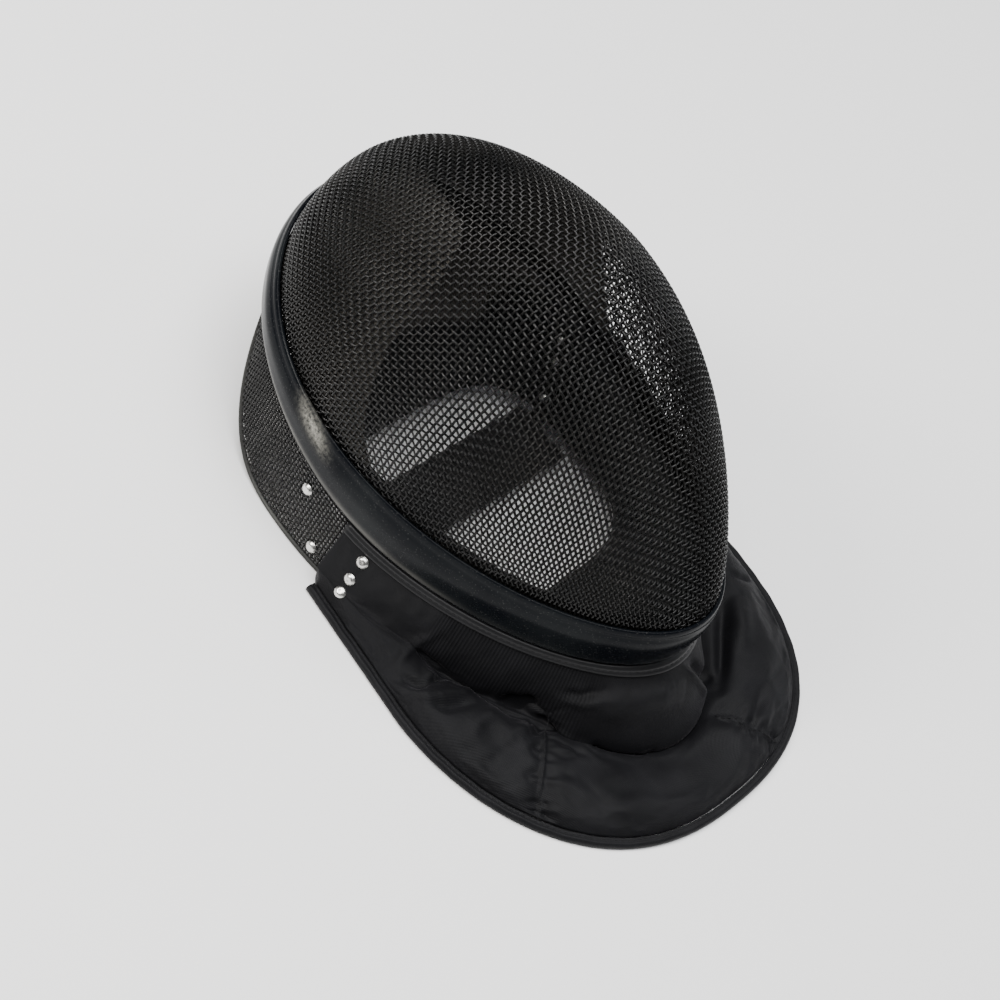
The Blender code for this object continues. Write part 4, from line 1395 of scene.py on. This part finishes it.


# Lining. A padded funnel of cloth runs from the trim to the head opening, with a lighter brushed
# pad at the forehead. Its colour is near black lower down, partly dark cloth and partly painted
# shade, and warm grey at the crown, partly a lighter cloth and partly painted light. It is stuffed
# with foam and tacked down in narrow channels.
LINING_WALL = 6 * MM
LINING_INSET = 6 * MM
LINING_TOP = 7 * MM
LINING_FOOT = 14 * MM
OPENING_HALF_WIDTH = HALF_WIDTH - 21 * MM
OPENING_CROWN = HALF_LENGTH - 100 * MM
OPENING_CHIN = HALF_LENGTH - 72 * MM
OPENING_CORNER = 3.6
LINING_ROWS = ((0.0, 0.0), (0.30, 4 * MM), (0.65, 5 * MM), (1.0, 0.0))
LINING_CHANNELS = 24
LINING_STATIONS = 144
LINING_OUTER = 15           # points of a section on the outside of the funnel
LINING_ALL = 40             # and all of them, with the 25 on the inside
LINING_PALE = 0.69          # share of the funnel painted warm grey at the crown, partly a lighter cloth and partly painted light


def lining_point(angle, way, inset, bulge=0.0):
    """On the padded funnel: from the trim, way 0, to the head opening, way 1."""
    top = trim_point(angle, -LINING_INSET - inset, LINING_TOP)
    middle = (OPENING_CROWN - OPENING_CHIN) / 2
    reach = (OPENING_CROWN + OPENING_CHIN) / 2
    power = 2 / OPENING_CORNER
    grown = LINING_WALL - inset
    foot = np.array([
        (OPENING_HALF_WIDTH + grown) * signed_power(math.cos(angle), power),
        middle + (reach + grown) * signed_power(math.sin(angle), power) + MIDDLE,
        LINING_FOOT])
    point = mix(top, foot, way)
    out = np.array([point[0], point[1] - middle - MIDDLE, 0.0])
    return point + out / np.linalg.norm(out) * bulge


def lining_cloth():
    """Brushed cotton: near black round the opening, partly dark cloth and partly painted shade,
    and warm grey at the forehead, partly a lighter cloth and partly painted light.
    """
    made = Finish("lining_cotton", {"Sheen Weight": 0.10, "Sheen Roughness": 0.5,
                                    "Specular IOR Level": 0.2})
    along, across = made.cloth_place()
    pale = made.painted("forehead")
    knit = made.wave(along, 1.4 * MM) * 0.5 + made.wave(across, 1.4 * MM) * 0.5
    fluff = made.noise(700.0, 3.0)
    share = made.between(fluff * 0.7 + knit * 0.15, 0, 1, 0.15, 0.65)
    dark = made.blend(share, (0.0032, 0.0038, 0.0048), (0.0070, 0.0080, 0.0095))
    warm = made.blend(share, (0.060, 0.055, 0.049), (0.115, 0.105, 0.094))
    # Painted light and shade in part: warm grey where the crown is lit through the mesh, near
    # black deeper in.
    made.set("Base Color", made.blend(pale, dark, warm))
    made.set("Roughness", made.between(fluff, 0.75, 0.95))
    made.bump(knit + fluff * 1.5, 0.3 * MM, 0.6)
    return made.material


lining_sections, pale = [], []
turns = np.linspace(0, 2 * math.pi, LINING_STATIONS, endpoint=False)
for angle in turns:
    outer, inner = [through([lining_point(angle, way, inset, bulge) for way, bulge in LINING_ROWS],
                            count) for inset, count in (
                                (0.0, LINING_OUTER), (LINING_WALL, LINING_ALL - LINING_OUTER))]
    border = LINING_PALE * ease(math.sin(angle), 0.30, 0.85)
    pale.append([0.0] * len(outer) + [
        1 - ease(way, border - 0.02, border + 0.02) if border > 0.04 else 0.0
        for way in np.linspace(1, 0, len(inner))])
    lining_sections.append(np.concatenate([outer, inner[::-1]]))
cotton = lining_cloth()
lining = shell("lining_padding", lining_sections, True, cotton)
give_values(lining, "forehead", np.array(pale).ravel())
row_of = np.tile(np.arange(LINING_ALL), len(turns))
turn_of = turns.repeat(LINING_ALL)
loose = np.clip(np.minimum(row_of - LINING_OUTER, LINING_ALL - 1 - row_of) / 4, 0, 1)
channel = np.abs(np.sin(turn_of * LINING_CHANNELS / 2))
loose *= np.clip(channel * 3 - 0.3, 0.1, 1)
give_values(lining, "loose", loose)
fill_cloth(lining, loose, pressure=3.0, slack=0.03, most=3.0 * MM)
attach(lining, "root")
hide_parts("lining")


# Forehead pad. Over the lining a thin pad of the lighter cloth lines the crown of the mesh from
# the trim upwards; its warm grey is partly painted light. It lies against the wires and thins out
# towards its edges.
PAD_RISE = 58 * MM
PAD_TEMPLES = 40 * MM       # how much higher it reaches beside the temples
PAD_WALL = 3.5 * MM
PAD_DEPTH = 2.5 * MM        # its face below the mesh's outer face
PAD_ENDS = (0.05, 0.5)      # sines between which it rises to its full height
PAD_TURNS = (4, 176)


def pad_section(angle):
    """Up the inside of the mesh and back down on the pad's own face."""
    share = np.linspace(0.0, 0.8, 400)
    flat = outline(angle)
    heights = dome_height(flat[0] * (1 - share), flat[1] * (1 - share))
    rise = (PAD_RISE * ease(math.sin(angle), *PAD_ENDS)
            + PAD_TEMPLES * abs(math.sin(2 * angle)))
    inward = np.interp(np.linspace(0.02, 1, 15) * rise, heights - heights[0], share)
    x, y = flat[0] * (1 - inward), flat[1] * (1 - inward)
    points, out = np.stack([x, y, dome_height(x, y)], axis=1), dome_outward(x, y)
    wall = PAD_WALL * np.sqrt(np.sin(math.pi * np.linspace(0.02, 0.98, 15)))[:, None]
    return stand_up(np.concatenate([points - out * PAD_DEPTH,
                                    (points - out * (PAD_DEPTH + wall))[::-1]]))


pad = shell("forehead_pad", [pad_section(math.radians(turn))
                             for turn in np.linspace(*PAD_TURNS, 81)], False, cotton)
# The pad takes the warm grey of the forehead cloth, partly painted light.
give_values(pad, "forehead", np.ones(len(pad.data.vertices)))
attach(pad, "root")
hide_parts("lining")


# Strap tabs. Flat woven tabs are sewn down the lining at both ears and riveted with small
# bright studs. They carry the ends of the back strap.
TAB_WALL = 1.5 * MM
TAB_TOP = 0.16
TAB_FIRST = 1
TAB_LAST = 2
TAB_STUDS = (0.23, 0.47, 0.84)
STUD_RADIUS = 2.8 * MM
STUD_PROFILE = ((0.0, 1.0), (0.25, 0.97), (0.50, 0.86), (0.72, 0.66), (0.86, 0.42), (0.94, 0.22),
                (1.0, 0.10), (0.98, 0.0), (0.0, 0.0))
STRAP_HEIGHT = 8 * MM


def tab_point(place, way, inset):
    """On the tab, which lies on the lining's inner face and goes on below it."""
    angle = 2 * math.pi * place / MESH_STATIONS
    if way > 1:
        point = lining_point(angle, 1.0, LINING_WALL + inset)
        point[2] -= (way - 1) * (LINING_FOOT - STRAP_HEIGHT)
        return point
    shares = [share for share, bulge in LINING_ROWS]
    row = max(i for i, share in enumerate(shares[:-1]) if way >= share)
    part = (way - shares[row]) / (shares[row + 1] - shares[row])
    upper = lining_point(angle, shares[row], LINING_WALL + inset, LINING_ROWS[row][1])
    lower = lining_point(angle, shares[row + 1], LINING_WALL + inset, LINING_ROWS[row + 1][1])
    return mix(upper, lower, part)


def elastic_web(name, pitch):
    """Woven elastic: fine ribs along the web and a soft, dull face."""
    made = Finish(name, {"Sheen Weight": 0.2, "Sheen Roughness": 0.4,
                         "Specular IOR Level": 0.25})
    along, across = made.cloth_place()
    ribs = made.wave(across, pitch)
    ends = made.wave(along, 0.9 * MM)
    fluff = made.noise(900.0, 2.0)
    made.set("Base Color", made.blend(made.between(ribs * 0.3 + fluff, 0, 1, 0.2, 0.8),
                                      (0.0040, 0.0040, 0.0043), (0.0120, 0.0120, 0.0125)))
    made.set("Roughness", made.between(fluff, 0.6, 0.85))
    made.bump(ribs + ends * 0.5 + fluff, 0.2 * MM, 0.6)
    return made.material


web = elastic_web("tab_web", 1.6 * MM)
ways = np.concatenate([np.linspace(TAB_TOP, 1.0, 22), np.linspace(1.15, 2.0, 5)])
for word, hand in (("right", -1.0), ("left", 1.0)):
    sections = []
    for way in ways:
        corners = [tab_point(TAB_FIRST, way, GAP), tab_point(TAB_LAST, way, GAP),
                   tab_point(TAB_LAST, way, GAP + TAB_WALL),
                   tab_point(TAB_FIRST, way, GAP + TAB_WALL)]
        under = [mix(corners[0], corners[1], share) for share in np.linspace(0, 1, 5)]
        over = [mix(corners[2], corners[3], share) for share in np.linspace(0.03, 0.97, 7)]
        side = [mix(corners[1], corners[2], 0.5), mix(corners[3], corners[0], 0.5)]
        sections.append(mirrored([*under, side[0], *over, side[1]], hand))
    tab = shell("strap_tab_web_" + word, sections, False, web)
    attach(tab, "root")
    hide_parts("strap_tab_" + word)
spots = []
for way in TAB_STUDS:
    first, second = [tab_point(place, way, GAP + TAB_WALL) for place in (TAB_FIRST, TAB_LAST)]
    out = -square_to(second - first, tab_point(TAB_FIRST, way - 0.05, GAP + TAB_WALL) - first,
                     first, axis)
    spots.append((mix(first, second, 0.5) + out * GAP, out))
set_heads("tab_stud_heads", spots, lathed("stud", STUD_PROFILE, STUD_RADIUS, 24),
          "tab_stud", ("top", "middle", "low"))


# Back strap. A wide ribbed elastic runs from tab to tab across the head opening, and holds
# the mask on. At rest it is nearly flat, with a slight bow and softly turned edges.
STRAP_WIDTH = 40 * MM
STRAP_WALL = 2.2 * MM
STRAP_RIBS = 11
STRAP_RIB = 0.12 * MM
STRAP_SQUARE = 14           # how square the strap's edges are

strap_end = min(tab_point(place, 2.0, GAP * 2 + TAB_WALL)[0] for place in (TAB_FIRST, TAB_LAST))
strap_sections = []
for along in np.linspace(-1, 1, 61):
    bow = 0.35 * MM * (1 - along * along) - 0.25 * MM * math.sin(3.0 * along + 0.6)
    narrow = STRAP_WIDTH * (1 - 0.018 * (1 - along ** 6))
    ring = []
    for side in np.linspace(-1, 1, 67):
        rib = STRAP_RIB * abs(math.sin(math.pi * STRAP_RIBS * (side + 1) / 2))
        rounded = math.sqrt(max(1 - abs(side) ** STRAP_SQUARE, 0.0))
        ring.append((side, STRAP_WALL / 2 * rounded - STRAP_RIB + rib * rounded))
    under = [(side, -STRAP_WALL / 2 * math.sqrt(max(1 - abs(side) ** STRAP_SQUARE, 0.0)))
             for side in np.linspace(0.98, -0.98, 25)]
    strap_sections.append([
        (along * strap_end, MIDDLE + STRAP_PLACE + side * narrow / 2,
         STRAP_HEIGHT + STRAP_WALL / 2 + bow + high) for side, high in ring + under])
strap = shell("back_strap_web", strap_sections, False, elastic_web("strap_web", 3.4 * MM))
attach(strap, "root")
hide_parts("back_strap")
